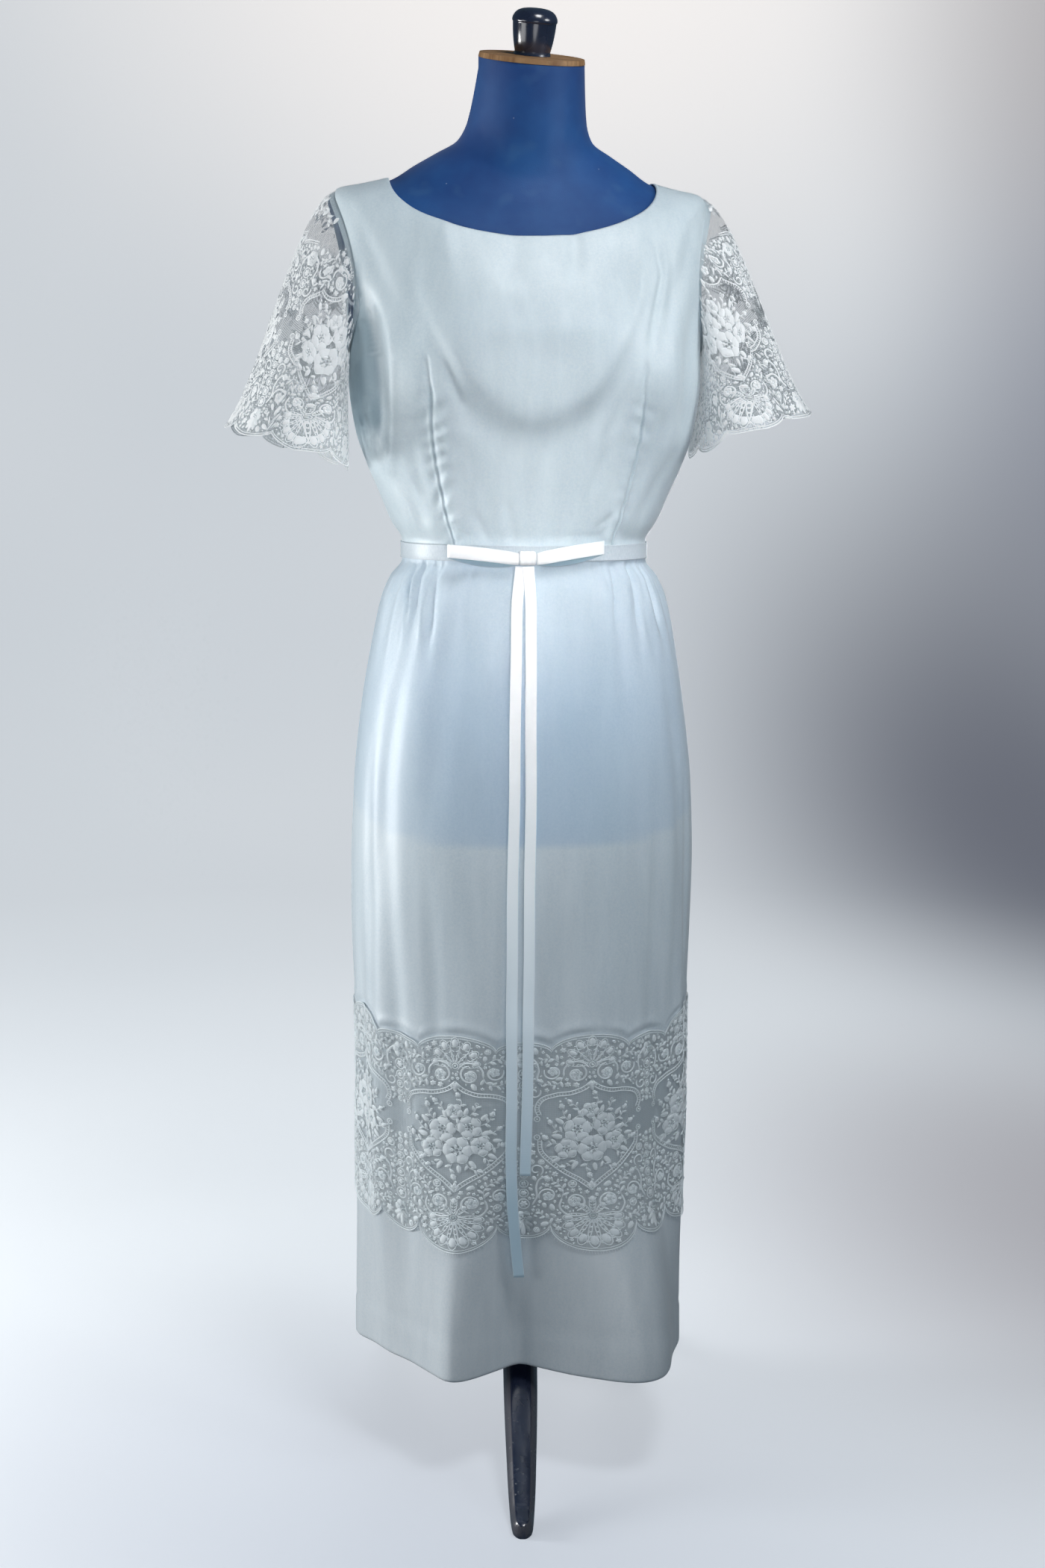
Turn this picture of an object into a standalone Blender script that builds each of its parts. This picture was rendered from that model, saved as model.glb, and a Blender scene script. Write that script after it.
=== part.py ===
"""Column wedding gown with lace sleeves, worn by a limbless dress form on a tripod stand.

Real size in metres, +Z up. The gown's front faces -Y.
Everything is made round the stand's pole, then moved so that the origin is on the floor,
under the middle of the whole part.
In every table, heights are measured up from the waist seam.
"""

import math
from collections import namedtuple

import bmesh
import bpy
from mathutils import Matrix, Vector

# Where the pole stands, seen from the middle of the whole part
POLE_PLACE = Vector((0.0025, 0.0165, 0.0))

# Driving sizes of the gown
WAIST_HEIGHT = 0.966
CLOTH = 0.0012
LACE = 0.0010
SEAM_GAP = 0.0008
TOUCH_GAP = 0.0003
HEM = -0.8515

# The armholes, as stations up the side: the foot under the arm and the top at the shoulder tip
ARMPIT = 0.200
SHOULDER_TIP = 0.366
ARMHOLE_FRONT_ANGLE = 27.0
ARMHOLE_BACK_ANGLE = 24.0

# The neckline, as stations at the centre front, the centre back and the shoulder
NECK_FRONT = 0.367
NECK_BACK = 0.378
NECK_SHOULDER = 0.410

# The bust darts run up from the waist to below the bust point
DART_ANGLE_AT_WAIST = 38.5
DART_LEAN = 28.0
DART_TOP = 0.185
DART_DEPTH = 0.0022
DART_COLUMN = 0.4

# The lace band round the skirt, eight repeats of one motif with two lobes each
LACE_REPEATS = 8
LOBE_ANGLE = 18.1
BAND_TOP = -0.502
BAND_SIDE_RISE = 0.015
BAND_BOTTOM = -0.691
BAND_TOP_LOBE = 0.014
BAND_BOTTOM_LOBE = 0.025
BAND_LIFT = 0.0015

# The ribbon belt, its bow and its two tails
BELT_HEIGHT = 0.016
BELT_LIFT = 0.0006
RIBBON = 0.0010
RIBBON_WIDTH = 0.0115
LOOP_WIDTH = 0.0135
KNOT_X = -0.0094
KNOT_HEIGHT = 0.963
LOOP_LENGTH = 0.0705

# The stand
POLE_RADIUS = 0.016
LEG_TURN = -6.0
BACK_LEG_SPREAD = 36.0

Ring = namedtuple(
    "Ring",
    "station front side back half_width front_depth back_depth middle_x middle_y square"
    " gap_side gap_front gap_back",
)
Fold = namedtuple("Fold", "angle half_angle depth top full")
Corner = namedtuple("Corner", "angle radius")
TailPoint = namedtuple("TailPoint", "height x")
LegPoint = namedtuple("LegPoint", "reach centre half_width half_height")

# One row for each ring of the gown's outside, from the hem to the neckline, and on up the form's neck.
# station runs up the side and over the shoulder; front, side and back are the ring's heights there.
# The shoulders sit a little back and to -X of the neck, as the form leans.
# The last three columns are how far the form's skin lies inside the cloth's outside.
RINGS = [
    Ring(-0.8515, -0.8515, -0.8515, -0.8515, 0.1785, 0.15, 0.152, 0.0, 0.0, 0.03, 0.03, 0.02, 0.02),
    Ring(-0.7, -0.7, -0.7, -0.7, 0.1785, 0.145, 0.15, 0.0, 0.0, 0.03, 0.03, 0.02, 0.02),
    Ring(-0.5, -0.5, -0.5, -0.5, 0.179, 0.138, 0.148, 0.0, 0.0, 0.03, 0.03, 0.02, 0.02),
    Ring(-0.33, -0.33, -0.33, -0.33, 0.1825, 0.131, 0.146, 0.0, 0.0, 0.03, 0.031, 0.009, 0.012),
    Ring(-0.25, -0.25, -0.25, -0.25, 0.179, 0.1265, 0.142, 0.0, 0.0, 0.03, 0.025, 0.0065, 0.008),
    Ring(-0.17, -0.17, -0.17, -0.17, 0.1705, 0.1215, 0.136, 0.0, 0.0, 0.03, 0.0185, 0.0065, 0.007),
    Ring(-0.1, -0.1, -0.1, -0.1, 0.16, 0.115, 0.123, 0.0, 0.0, 0.03, 0.014, 0.007, 0.007),
    Ring(-0.05, -0.05, -0.05, -0.05, 0.15, 0.1085, 0.108, 0.0, 0.0, 0.03, 0.01, 0.007, 0.007),
    Ring(-0.028, -0.028, -0.028, -0.028, 0.1405, 0.104, 0.098, 0.0, 0.0, 0.03, 0.008, 0.007, 0.007),
    Ring(-0.01, -0.01, -0.01, -0.01, 0.1275, 0.0985, 0.0885, 0.0, 0.0, 0.03, 0.006, 0.006, 0.006),
    Ring(0.0, 0.0, 0.0, 0.0, 0.1275, 0.0985, 0.0885, 0.0, 0.0, 0.03, 0.006, 0.006, 0.006),
    Ring(0.01, 0.01, 0.01, 0.01, 0.1275, 0.0985, 0.0885, 0.0, 0.0, 0.03, 0.006, 0.006, 0.006),
    Ring(0.027, 0.027, 0.027, 0.027, 0.1375, 0.102, 0.091, 0.0, 0.0, 0.03, 0.011, 0.007, 0.006),
    Ring(0.058, 0.058, 0.058, 0.058, 0.151, 0.107, 0.095, 0.0, 0.0, 0.035, 0.02, 0.0095, 0.007),
    Ring(0.089, 0.089, 0.089, 0.089, 0.1645, 0.113, 0.099, 0.0, 0.0, 0.04, 0.028, 0.011, 0.008),
    Ring(0.12, 0.12, 0.12, 0.12, 0.1745, 0.119, 0.103, 0.0, 0.0, 0.045, 0.032, 0.011, 0.008),
    Ring(0.17, 0.17, 0.17, 0.17, 0.1815, 0.1245, 0.108, 0.0, 0.0, 0.05, 0.032, 0.009, 0.007),
    Ring(0.21, 0.208, 0.21, 0.21, 0.183, 0.1245, 0.1095, -0.001, 0.001, 0.05, 0.029, 0.008, 0.006),
    Ring(0.25, 0.237, 0.25, 0.248, 0.186, 0.1205, 0.1085, -0.002, 0.003, 0.05, 0.023, 0.007, 0.0055),
    Ring(0.295, 0.264, 0.295, 0.288, 0.19, 0.115, 0.104, -0.0035, 0.006, 0.05, 0.0145, 0.006, 0.005),
    Ring(0.335, 0.289, 0.335, 0.322, 0.192, 0.108, 0.0975, -0.0045, 0.009, 0.05, 0.0074, 0.0056, 0.0056),
    Ring(0.355, 0.303, 0.353, 0.34, 0.1925, 0.1035, 0.092, -0.005, 0.011, 0.045, 0.0052, 0.005, 0.005),
    Ring(0.366, 0.311, 0.362, 0.35, 0.187, 0.1005, 0.0885, -0.0055, 0.012, 0.04, 0.0044, 0.0044, 0.0046),
    Ring(0.387, 0.322, 0.3685, 0.363, 0.162, 0.095, 0.082, -0.0055, 0.012, 0.03, 0.0040, 0.0040, 0.0042),
    Ring(0.41, 0.334, 0.3755, 0.374, 0.136, 0.0885, 0.075, -0.0045, 0.011, 0.02, 0.0036, 0.0036, 0.0038),
    Ring(0.437, 0.347, 0.389, 0.386, 0.111, 0.08, 0.067, -0.0035, 0.009, 0.01, 0.0018, 0.0018, 0.0018),
    Ring(0.46, 0.359, 0.4005, 0.397, 0.089, 0.071, 0.059, -0.0025, 0.006, 0.0, 0.0006, 0.0006, 0.0006),
    Ring(0.48, 0.372, 0.412, 0.408, 0.069, 0.062, 0.056, -0.0015, 0.001, 0.0, 0.0, 0.0, 0.0),
    Ring(0.501, 0.393, 0.431, 0.429, 0.0605, 0.057, 0.0545, 0.0, -0.004, 0.0, 0.0, 0.0, 0.0),
    Ring(0.53, 0.425, 0.455, 0.462, 0.0566, 0.055, 0.0535, 0.0015, -0.009, 0.0, 0.0, 0.0, 0.0),
    Ring(0.565, 0.469, 0.482, 0.494, 0.0535, 0.053, 0.053, 0.003, -0.014, 0.0, 0.0, 0.0, 0.0),
]

# The hem seen from below: where its soft corners and inward folds lie round the pole
HEM_OUTLINE = [
    Corner(-87.0, 0.1835),
    Corner(-67.0, 0.1620),
    Corner(-44.0, 0.1645),
    Corner(-29.0, 0.1850),
    Corner(-7.0, 0.1130),
    Corner(15.0, 0.1545),
    Corner(30.0, 0.2060),
    Corner(39.0, 0.2140),
    Corner(49.0, 0.1960),
    Corner(76.0, 0.1775),
    Corner(101.0, 0.1660),
    Corner(127.0, 0.1740),
    Corner(147.0, 0.1830),
    Corner(168.0, 0.1440),
    Corner(188.0, 0.1480),
    Corner(212.0, 0.1760),
    Corner(232.0, 0.1790),
    Corner(252.0, 0.1680),
]
HEM_SOFTNESS = 4.0

# Folds of the skirt. A negative depth lies inward. top is where a fold begins, full where it is deepest.
GATHERS = [
    Fold(34.0, 3.4, -0.0024, -0.012, -0.034),
    Fold(42.0, 3.6, -0.0032, -0.012, -0.040),
    Fold(51.0, 4.0, -0.0036, -0.012, -0.046),
    Fold(60.5, 4.0, -0.0036, -0.012, -0.040),
    Fold(70.0, 4.2, -0.0030, -0.012, -0.034),
    Fold(118.0, 4.4, -0.0030, -0.012, -0.038),
    Fold(130.0, 4.4, -0.0036, -0.012, -0.044),
    Fold(143.0, 4.4, -0.0030, -0.012, -0.038),
]
LONG_FOLDS = [
    Fold(-7.0, 7.0, -0.0050, -0.42, -0.72),
    Fold(48.0, 6.0, -0.0055, -0.32, -0.62),
    Fold(61.0, 5.5, 0.0045, -0.32, -0.60),
    Fold(73.0, 5.0, -0.0040, -0.30, -0.55),
    Fold(-48.0, 6.0, -0.0045, -0.34, -0.60),
    Fold(-61.0, 5.0, 0.0035, -0.34, -0.60),
    Fold(-74.0, 5.5, -0.0045, -0.30, -0.58),
    Fold(131.0, 7.0, -0.0060, -0.34, -0.62),
    Fold(163.0, 6.5, -0.0050, -0.34, -0.62),
    Fold(-128.0, 7.0, -0.0055, -0.34, -0.62),
    Fold(-152.0, 6.5, 0.0045, -0.34, -0.62),
    Fold(-168.0, 6.0, -0.0045, -0.36, -0.62),
]
HEM_SHAPE_TOP = -0.60
GATHER_END = -0.150

LONG_TAIL = [
    TailPoint(-0.0122, -0.0160),
    TailPoint(-0.0570, -0.0208),
    TailPoint(-0.0800, -0.0212),
    TailPoint(-0.2880, -0.0248),
    TailPoint(-0.5775, -0.0272),
    TailPoint(-0.6600, -0.0255),
    TailPoint(-0.7050, -0.0222),
    TailPoint(-0.7455, -0.0178),
]
SHORT_TAIL = [
    TailPoint(-0.0120, -0.0088),
    TailPoint(-0.0570, -0.0066),
    TailPoint(-0.2880, -0.0078),
    TailPoint(-0.4500, -0.0095),
    TailPoint(-0.6335, -0.0122),
]

# One leg, from the hub to the toe. Its last stretch lies flat on the floor.
LEG_PATH = [
    LegPoint(0.020, 0.105, 0.0190, 0.0200),
    LegPoint(0.060, 0.101, 0.0185, 0.0165),
    LegPoint(0.100, 0.086, 0.0180, 0.0145),
    LegPoint(0.140, 0.066, 0.0170, 0.0130),
    LegPoint(0.180, 0.045, 0.0155, 0.0120),
    LegPoint(0.215, 0.026, 0.0140, 0.0110),
    LegPoint(0.238, 0.0145, 0.0125, 0.0100),
    LegPoint(0.246, 0.0100, 0.0118, 0.0100),
    LegPoint(0.262, 0.0090, 0.0105, 0.0090),
    LegPoint(0.269, 0.0080, 0.0080, 0.0080),
    LegPoint(0.272, 0.0070, 0.0045, 0.0070),
]


def smooth_curve(xs, ys):
    """A curve through the points that never swings past them."""
    count = len(xs)
    slopes = [(ys[i + 1] - ys[i]) / (xs[i + 1] - xs[i]) for i in range(count - 1)]
    tangents = [slopes[0]]
    for before, after in zip(slopes, slopes[1:]):
        same_way = before * after > 0
        tangents.append(2 * before * after / (before + after) if same_way else 0.0)
    tangents.append(slopes[-1])

    def value(x):
        x = min(max(x, xs[0]), xs[-1])
        i = 0
        while i < count - 2 and x > xs[i + 1]:
            i += 1
        width = xs[i + 1] - xs[i]
        t = (x - xs[i]) / width
        start = (1 + 2 * t) * (1 - t) ** 2 * ys[i] + t * (1 - t) ** 2 * width * tangents[i]
        end = t * t * (3 - 2 * t) * ys[i + 1] + t * t * (t - 1) * width * tangents[i + 1]
        return start + end

    return value


def column_curve(rows, key, column):
    return smooth_curve([getattr(row, key) for row in rows], [getattr(row, column) for row in rows])


RING_CURVES = {column: column_curve(RINGS, "station", column) for column in Ring._fields[1:]}


def hem_straight(angle):
    """The hem's radius when it runs straight from each corner to the next."""
    turns = [Corner(c.angle + turn, c.radius) for turn in (-360.0, 0.0, 360.0) for c in HEM_OUTLINE]
    before, after = next((a, b) for a, b in zip(turns, turns[1:]) if a.angle <= angle < b.angle)
    width = math.sin(math.radians(after.angle - before.angle))
    lead, lag = math.sin(math.radians(after.angle - angle)), math.sin(math.radians(angle - before.angle))
    return before.radius * after.radius * width / (before.radius * lag + after.radius * lead)


def hem_radius(angle):
    """The same with its corners rounded off."""
    offsets = (-1.5, -1.0, -0.5, 0.0, 0.5, 1.0, 1.5)
    weights = (1, 2, 3, 4, 3, 2, 1)
    total = sum(w * hem_straight(angle + HEM_SOFTNESS * o) for w, o in zip(weights, offsets))
    return total / sum(weights)


def smooth_step(value):
    t = min(max(value, 0.0), 1.0)
    return t * t * (3 - 2 * t)


def angle_between(a, b):
    return (a - b + 180.0) % 360.0 - 180.0


def bell(distance, half_width):
    return math.exp(-((distance / half_width) ** 2))


def bust(angle, station):
    """How far the bust rounds the cloth out at each side of the centre front."""
    bust_angle, bust_station = 34.0, 0.188
    return 0.0075 * bell(abs(angle) - bust_angle, 19.0) * bell(station - bust_station, 0.052)


def shoulder_fold(angle, station):
    """A soft trough that falls from each shoulder to the top of the dart."""
    centre = 36.0 + 30.0 * (station - DART_TOP) / (NECK_SHOULDER - DART_TOP)
    along = smooth_step((station - 0.16) / 0.05) * smooth_step((0.365 - station) / 0.06)
    return -0.0022 * along * bell(abs(angle) - centre, 5.0)


def skirt_fold(angle, station):
    """Gathers under the belt and the long folds that fall to the hem."""
    total = 0.0
    for fold in GATHERS:
        along = smooth_step((fold.top - station) / (fold.top - fold.full))
        along *= smooth_step((station - GATHER_END) / (fold.full - GATHER_END))
        total += fold.depth * along * bell(abs(angle) - fold.angle, fold.half_angle)
    for fold in LONG_FOLDS:
        along = smooth_step((fold.top - station) / (fold.top - fold.full))
        total += fold.depth * along * bell(angle_between(angle, fold.angle), fold.half_angle)
    return total


def plain_point(angle, station):
    """A point of the gown's outside before folds. angle is 0 at the front and 90 at +X."""
    ring = {column: curve(station) for column, curve in RING_CURVES.items()}
    turn = math.radians(angle)
    side, ahead = math.sin(turn), math.cos(turn)
    squared = 1 + ring["square"] * math.sin(2 * turn) ** 2
    depth = ring["front_depth"] if ahead > 0 else ring["back_depth"]
    near = ring["front"] if ahead > 0 else ring["back"]
    height = near * ahead**2 + ring["side"] * side**2
    across = ring["middle_x"] + ring["half_width"] * side * squared
    away = ring["middle_y"] - depth * ahead * squared
    return Vector((across, away, WAIST_HEIGHT + height))


def outward(angle, station):
    """The direction straight out of the plain surface."""
    across = plain_point(angle + 0.5, station) - plain_point(angle - 0.5, station)
    upward = plain_point(angle, station + 0.001) - plain_point(angle, station - 0.001)
    return across.cross(upward).normalized()


def gown_point(angle, station, lift=0.0):
    """A point on the gown's outside with its folds, or lift above it."""
    point = plain_point(angle, station)
    if station < 0:
        hem_share = smooth_step((HEM_SHAPE_TOP - station) / (HEM_SHAPE_TOP - HEM))
        level = Vector((point.x, point.y, 0.0))
        reach = level.length
        turn = math.degrees(math.atan2(point.x, -point.y))
        fold = skirt_fold(angle, station) * (1 - 0.7 * hem_share)
        wanted = reach + hem_share * (hem_radius(turn) - reach) + fold
        level *= (wanted + lift) / reach
        return Vector((level.x, level.y, point.z))
    push = bust(angle, station) + shoulder_fold(angle, station) + lift
    return point + outward(angle, station) * push


def form_point(angle, station):
    """A point of the dress form's skin, inside the gown and under the bust."""
    gap_side, gap_front, gap_back = (
        RING_CURVES[column](station) for column in ("gap_side", "gap_front", "gap_back")
    )
    turn = math.radians(angle)
    near = gap_front if math.cos(turn) > 0 else gap_back
    gap = near * math.cos(turn) ** 2 + gap_side * math.sin(turn) ** 2
    rounding = bust(angle, station) if station > 0 else 0.0
    return plain_point(angle, station) + outward(angle, station) * (rounding - gap)


def material(name, colour, roughness, metallic=0.0):
    made = bpy.data.materials.new(name)
    made.use_nodes = True
    shader = made.node_tree.nodes["Principled BSDF"]
    shader.inputs["Base Color"].default_value = (*colour, 1.0)
    shader.inputs["Roughness"].default_value = roughness
    shader.inputs["Metallic"].default_value = metallic
    return made


def add_object(name, mesh, paint, collection):
    obj = bpy.data.objects.new(name, mesh)
    mesh.materials.append(paint)
    mesh.shade_smooth()
    mesh.set_sharp_from_angle(angle=math.radians(40))
    collection.objects.link(obj)
    return obj


def surface(name, rows, closed=False):
    """An open mesh over rows of points. Facing it, columns run left to right and rows upward."""
    columns = len(rows[0])
    last = columns if closed else columns - 1
    faces = []
    for i in range(len(rows) - 1):
        for j in range(last):
            after = (j + 1) % columns
            low, high = i * columns, (i + 1) * columns
            faces += [(low + j, low + after, high + after), (low + j, high + after, high + j)]
    mesh = bpy.data.meshes.new(name)
    mesh.from_pydata([point for row in rows for point in row], [], faces)
    return mesh


def cloth(name, rows, thickness, paint, collection, closed=False):
    """A cloth wall: the rows are its outside, and Solidify gives it its thickness inward."""
    obj = add_object(name, surface(name, rows, closed), paint, collection)
    wall = obj.modifiers.new("thickness", "SOLIDIFY")
    wall.thickness = thickness
    wall.offset = -1.0
    return obj


def solid_loft(name, rings, paint, collection):
    """A closed body through rings of points, with flat ends."""
    mesh = surface(name, rings, closed=True)
    body = bmesh.new()
    body.from_mesh(mesh)
    bmesh.ops.holes_fill(body, edges=[edge for edge in body.edges if edge.is_boundary], sides=0)
    bmesh.ops.recalc_face_normals(body, faces=body.faces)
    body.to_mesh(mesh)
    body.free()
    return add_object(name, mesh, paint, collection)


def turned(name, profile, steps, place, paint, collection):
    """A body turned about its own Z axis. The profile is pairs of radius and height, from the top down."""
    mesh = bpy.data.meshes.new(name)
    points = [(radius, 0.0, height) for radius, height in profile]
    mesh.from_pydata(points, [(i, i + 1) for i in range(len(points) - 1)], [])
    obj = add_object(name, mesh, paint, collection)
    obj.location = place
    screw = obj.modifiers.new("turn", "SCREW")
    screw.steps = steps
    screw.render_steps = steps
    screw.use_merge_vertices = True
    screw.merge_threshold = 0.00001
    screw.use_smooth_shade = True
    return obj


def spread(start, end, count):
    return [start + (end - start) * i / (count - 1) for i in range(count)]


def neckline(angle):
    low = NECK_FRONT if math.cos(math.radians(angle)) > 0 else NECK_BACK
    return low + (NECK_SHOULDER - low) * abs(math.sin(math.radians(angle))) ** 3


def side_angle(station, opening):
    """Where a bodice panel ends at the side: at the side seam, or further in round the armhole."""
    middle = (ARMPIT + SHOULDER_TIP) / 2
    half = (SHOULDER_TIP - ARMPIT) / 2
    share = (station - middle) / half
    return 90.0 - opening * math.sqrt(max(0.0, 1 - share * share))


STATIONS_BELOW_ARM = [SEAM_GAP / 2, 0.011, 0.024, 0.044, 0.070, 0.100, 0.135, 0.170, ARMPIT]


def bodice_stations(rows_round_arm, rows_on_shoulder):
    """Stations of the rows along the side, with one exactly at each end of the armhole."""
    middle = (ARMPIT + SHOULDER_TIP) / 2
    half = (SHOULDER_TIP - ARMPIT) / 2
    round_arm = [
        middle - half * math.cos(math.pi * i / rows_round_arm) for i in range(1, rows_round_arm + 1)
    ]
    shoulder = spread(SHOULDER_TIP, NECK_SHOULDER, rows_on_shoulder + 1)[1:]
    return STATIONS_BELOW_ARM + round_arm + shoulder


def dart_groove(share, station):
    """The dart is a crease along one column of the front."""
    along = smooth_step((DART_TOP - station) / 0.05)
    return -DART_DEPTH * along if abs(share - DART_COLUMN) < 0.001 else 0.0


def beside_seam(point, angle):
    """Half the seam's gap, taken off an edge at a side seam (90 degrees) or at the centre back (180)."""
    if abs(abs(angle) - 90.0) < 0.001:
        return Vector((0.0, math.copysign(SEAM_GAP / 2, point.y), 0.0))
    if abs(abs(angle) - 180.0) < 0.001:
        return Vector((math.copysign(SEAM_GAP / 2, angle), 0.0, 0.0))
    return Vector((0.0, 0.0, 0.0))


def front_bodice_rows():
    shares = [0.0, 0.1, 0.2, 0.3, 0.36, 0.4, 0.44, 0.52, 0.62, 0.72, 0.82, 0.91, 1.0]
    columns = [-share for share in reversed(shares[1:])] + shares
    rows = []
    for side_station in bodice_stations(8, 3):
        row = []
        edge = side_angle(side_station, ARMHOLE_FRONT_ANGLE)
        for column in columns:
            share, sign = abs(column), math.copysign(1.0, column)
            station = side_station * neckline(90.0 * share) / NECK_SHOULDER
            dart = DART_ANGLE_AT_WAIST - DART_LEAN * min(station, DART_TOP)
            if share <= DART_COLUMN:
                angle = dart * share / DART_COLUMN
            else:
                angle = dart + (edge - dart) * (share - DART_COLUMN) / (1 - DART_COLUMN)
            seam = beside_seam(Vector((0.0, -1.0, 0.0)), angle)
            row.append(gown_point(sign * angle, station, dart_groove(share, station)) + seam)
        rows.append(row)
    return rows


def back_bodice_rows(side):
    """One half of the back, from the side seam to the centre back for +X, and the other way for -X."""
    shares = spread(0.0, 1.0, 11)
    rows = []
    for side_station in bodice_stations(8, 3):
        row = []
        for share in shares:
            station = side_station * neckline(180.0 - 90.0 * share) / NECK_SHOULDER
            angle = 180.0 - side_angle(side_station, ARMHOLE_BACK_ANGLE) * share
            seam = beside_seam(Vector((0.0, 1.0, 0.0)), side * angle)
            row.append(gown_point(side * angle, station) + seam)
        rows.append(list(reversed(row)) if side > 0 else row)
    return rows


SKIRT_HEIGHTS = [
    -0.80, -0.76, -0.72, -0.69, -0.655, -0.62, -0.55, -0.48, -0.40, -0.32, -0.25, -0.19,
    -0.14, -0.10, -0.070, -0.046, -0.028, -0.010,
]


def skirt_rows(first_angle, last_angle, columns):
    angles = spread(first_angle, last_angle, columns)
    inside = Vector((0.0, -math.cos(math.radians((first_angle + last_angle) / 2)), 0.0))
    heights = [HEM, *SKIRT_HEIGHTS, -SEAM_GAP / 2]
    return [
        [gown_point(angle, height) + beside_seam(inside, angle) for angle in angles] for height in heights
    ]


def band_lobe(angle):
    """The scalloped edge: 1 at the tip of a lobe and 0 between two. Every second lobe is smaller."""
    place = ((angle - LOBE_ANGLE) / 360.0 * LACE_REPEATS) % 1.0
    main = place < 0.3 or place > 0.7
    across = (place - round(place)) / 0.3 if main else (place - 0.5) / 0.2
    return (1.0 if main else 0.6) * (1 - across * across) ** 0.6


def band_rise(angle):
    """The band sits a little higher at the sides than at the front and back."""
    return BAND_SIDE_RISE * smooth_step((abs(math.sin(math.radians(angle))) - 0.7) / 0.3)


def band_rows(columns):
    """The lace band is made from the skirt's own points, moved out."""
    angles = [360.0 * j / columns for j in range(columns)]
    low = [BAND_BOTTOM + band_rise(angle) - BAND_BOTTOM_LOBE * band_lobe(angle) for angle in angles]
    high = [BAND_TOP + band_rise(angle) + BAND_TOP_LOBE * band_lobe(angle) for angle in angles]
    over_low = [BAND_BOTTOM + 0.001 + band_rise(angle) for angle in angles]
    level = [height for height in SKIRT_HEIGHTS if BAND_BOTTOM + BAND_SIDE_RISE < height < BAND_TOP]
    between = [over_low] + [[height] * columns for height in level]
    return [
        [on_skirt(angle, height, BAND_LIFT + LACE) for angle, height in zip(angles, heights)]
        for heights in [low, *between, high]
    ]


FRONT_COLUMNS = 29
BACK_COLUMNS = 15
SKIRT_PANELS = [(-90.0, 90.0, FRONT_COLUMNS), (90.0, 180.0, BACK_COLUMNS), (-180.0, -90.0, BACK_COLUMNS)]


def on_skirt(angle, height, lift):
    """A point over the flat facets of the skirt's panels, so that nothing laid on them dips into them."""
    angle = angle_between(angle, 0.0)
    first, last, columns = next(panel for panel in SKIRT_PANELS if panel[0] <= angle <= panel[1])
    step = (last - first) / (columns - 1)
    column = min(int((angle - first) / step), columns - 2)
    across = (angle - first) / step - column
    heights = [HEM, *SKIRT_HEIGHTS, -SEAM_GAP / 2]
    row = next(i for i in range(len(heights) - 1) if height <= heights[i + 1] or i == len(heights) - 2)
    upward = (height - heights[row]) / (heights[row + 1] - heights[row])
    left, right = first + step * column, first + step * (column + 1)
    first_corner = gown_point(left, heights[row], lift)
    last_corner = gown_point(right, heights[row + 1], lift)
    if across > upward:
        corner = gown_point(right, heights[row], lift)
        return first_corner + (corner - first_corner) * across + (last_corner - corner) * upward
    corner = gown_point(left, heights[row + 1], lift)
    return first_corner + (corner - first_corner) * upward + (last_corner - corner) * across


def armhole_point(side, turn, inset):
    """A point just inside an armhole: 0 is the shoulder tip, 90 the front and 180 under the arm."""
    middle = (ARMPIT + SHOULDER_TIP) / 2
    half = (SHOULDER_TIP - ARMPIT) / 2 - inset
    around, up = math.sin(math.radians(turn)), math.cos(math.radians(turn))
    opening = ARMHOLE_FRONT_ANGLE if around > 0 else ARMHOLE_BACK_ANGLE
    opening -= math.degrees(inset / 0.12)
    return gown_point(side * (90.0 - opening * around), middle + half * up)


# Each sleeve's hem ring: its middle, its half sizes and how far its outer side is lifted.
# The +X sleeve hangs a little higher than the other.
SleeveHem = namedtuple("SleeveHem", "middle_x middle_y height half_width half_depth outer_lift inner_drop")
SLEEVE_HEMS = {
    1: SleeveHem(0.2380, 0.004, 0.1290, 0.0620, 0.088, 0.016, 0.030),
    -1: SleeveHem(0.2440, 0.004, 0.1060, 0.0610, 0.088, 0.020, 0.021),
}
SLEEVE_SCALLOPS = 8
SCALLOP_DROP = 0.010
SLEEVE_INSET = 0.0040


def sleeve_point(side, turn, share):
    """A point of a sleeve. share is 0 at the armhole and 1 at the scalloped hem."""
    hem = SLEEVE_HEMS[side]
    around, up = math.sin(math.radians(turn)), math.cos(math.radians(turn))
    start = armhole_point(side, turn, SLEEVE_INSET)
    squared = 1 + 0.06 * math.sin(2 * math.radians(turn)) ** 2
    over, under = max(up, 0.0), max(-up, 0.0)
    outward_x = hem.half_width * (over * squared - under**0.6) - 0.005 * around
    end = Vector(
        (
            side * (hem.middle_x + outward_x),
            hem.middle_y - hem.half_depth * around * squared,
            WAIST_HEIGHT + hem.height + hem.outer_lift * over - hem.inner_drop * under,
        )
    )
    leave = Vector(
        (
            side * (0.040 + 0.080 * over - 0.024 * under),
            -0.030 * around,
            -0.100 - 0.06 * under + 0.065 * over,
        )
    )
    arrive = Vector((side * (0.055 + 0.055 * up), -0.075 * around, -0.150 + 0.020 * over))
    scallop = abs(math.cos(math.radians(turn) * SLEEVE_SCALLOPS / 2))
    end += arrive.normalized() * SCALLOP_DROP * (math.sqrt(scallop) - 0.5)
    t = share
    return (
        start * (1 + 2 * t) * (1 - t) ** 2
        + leave * t * (1 - t) ** 2
        + end * t * t * (3 - 2 * t)
        + arrive * t * t * (t - 1)
    )


def sleeve_rows(side):
    turns = [360.0 * j / 36 for j in range(36)]
    shares = [0.0, 0.10, 0.24, 0.42, 0.62, 0.82, 1.0]
    rows = [[sleeve_point(side, turn, share) for turn in turns] for share in shares]
    return rows if side > 0 else [list(reversed(row)) for row in rows]


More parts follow.
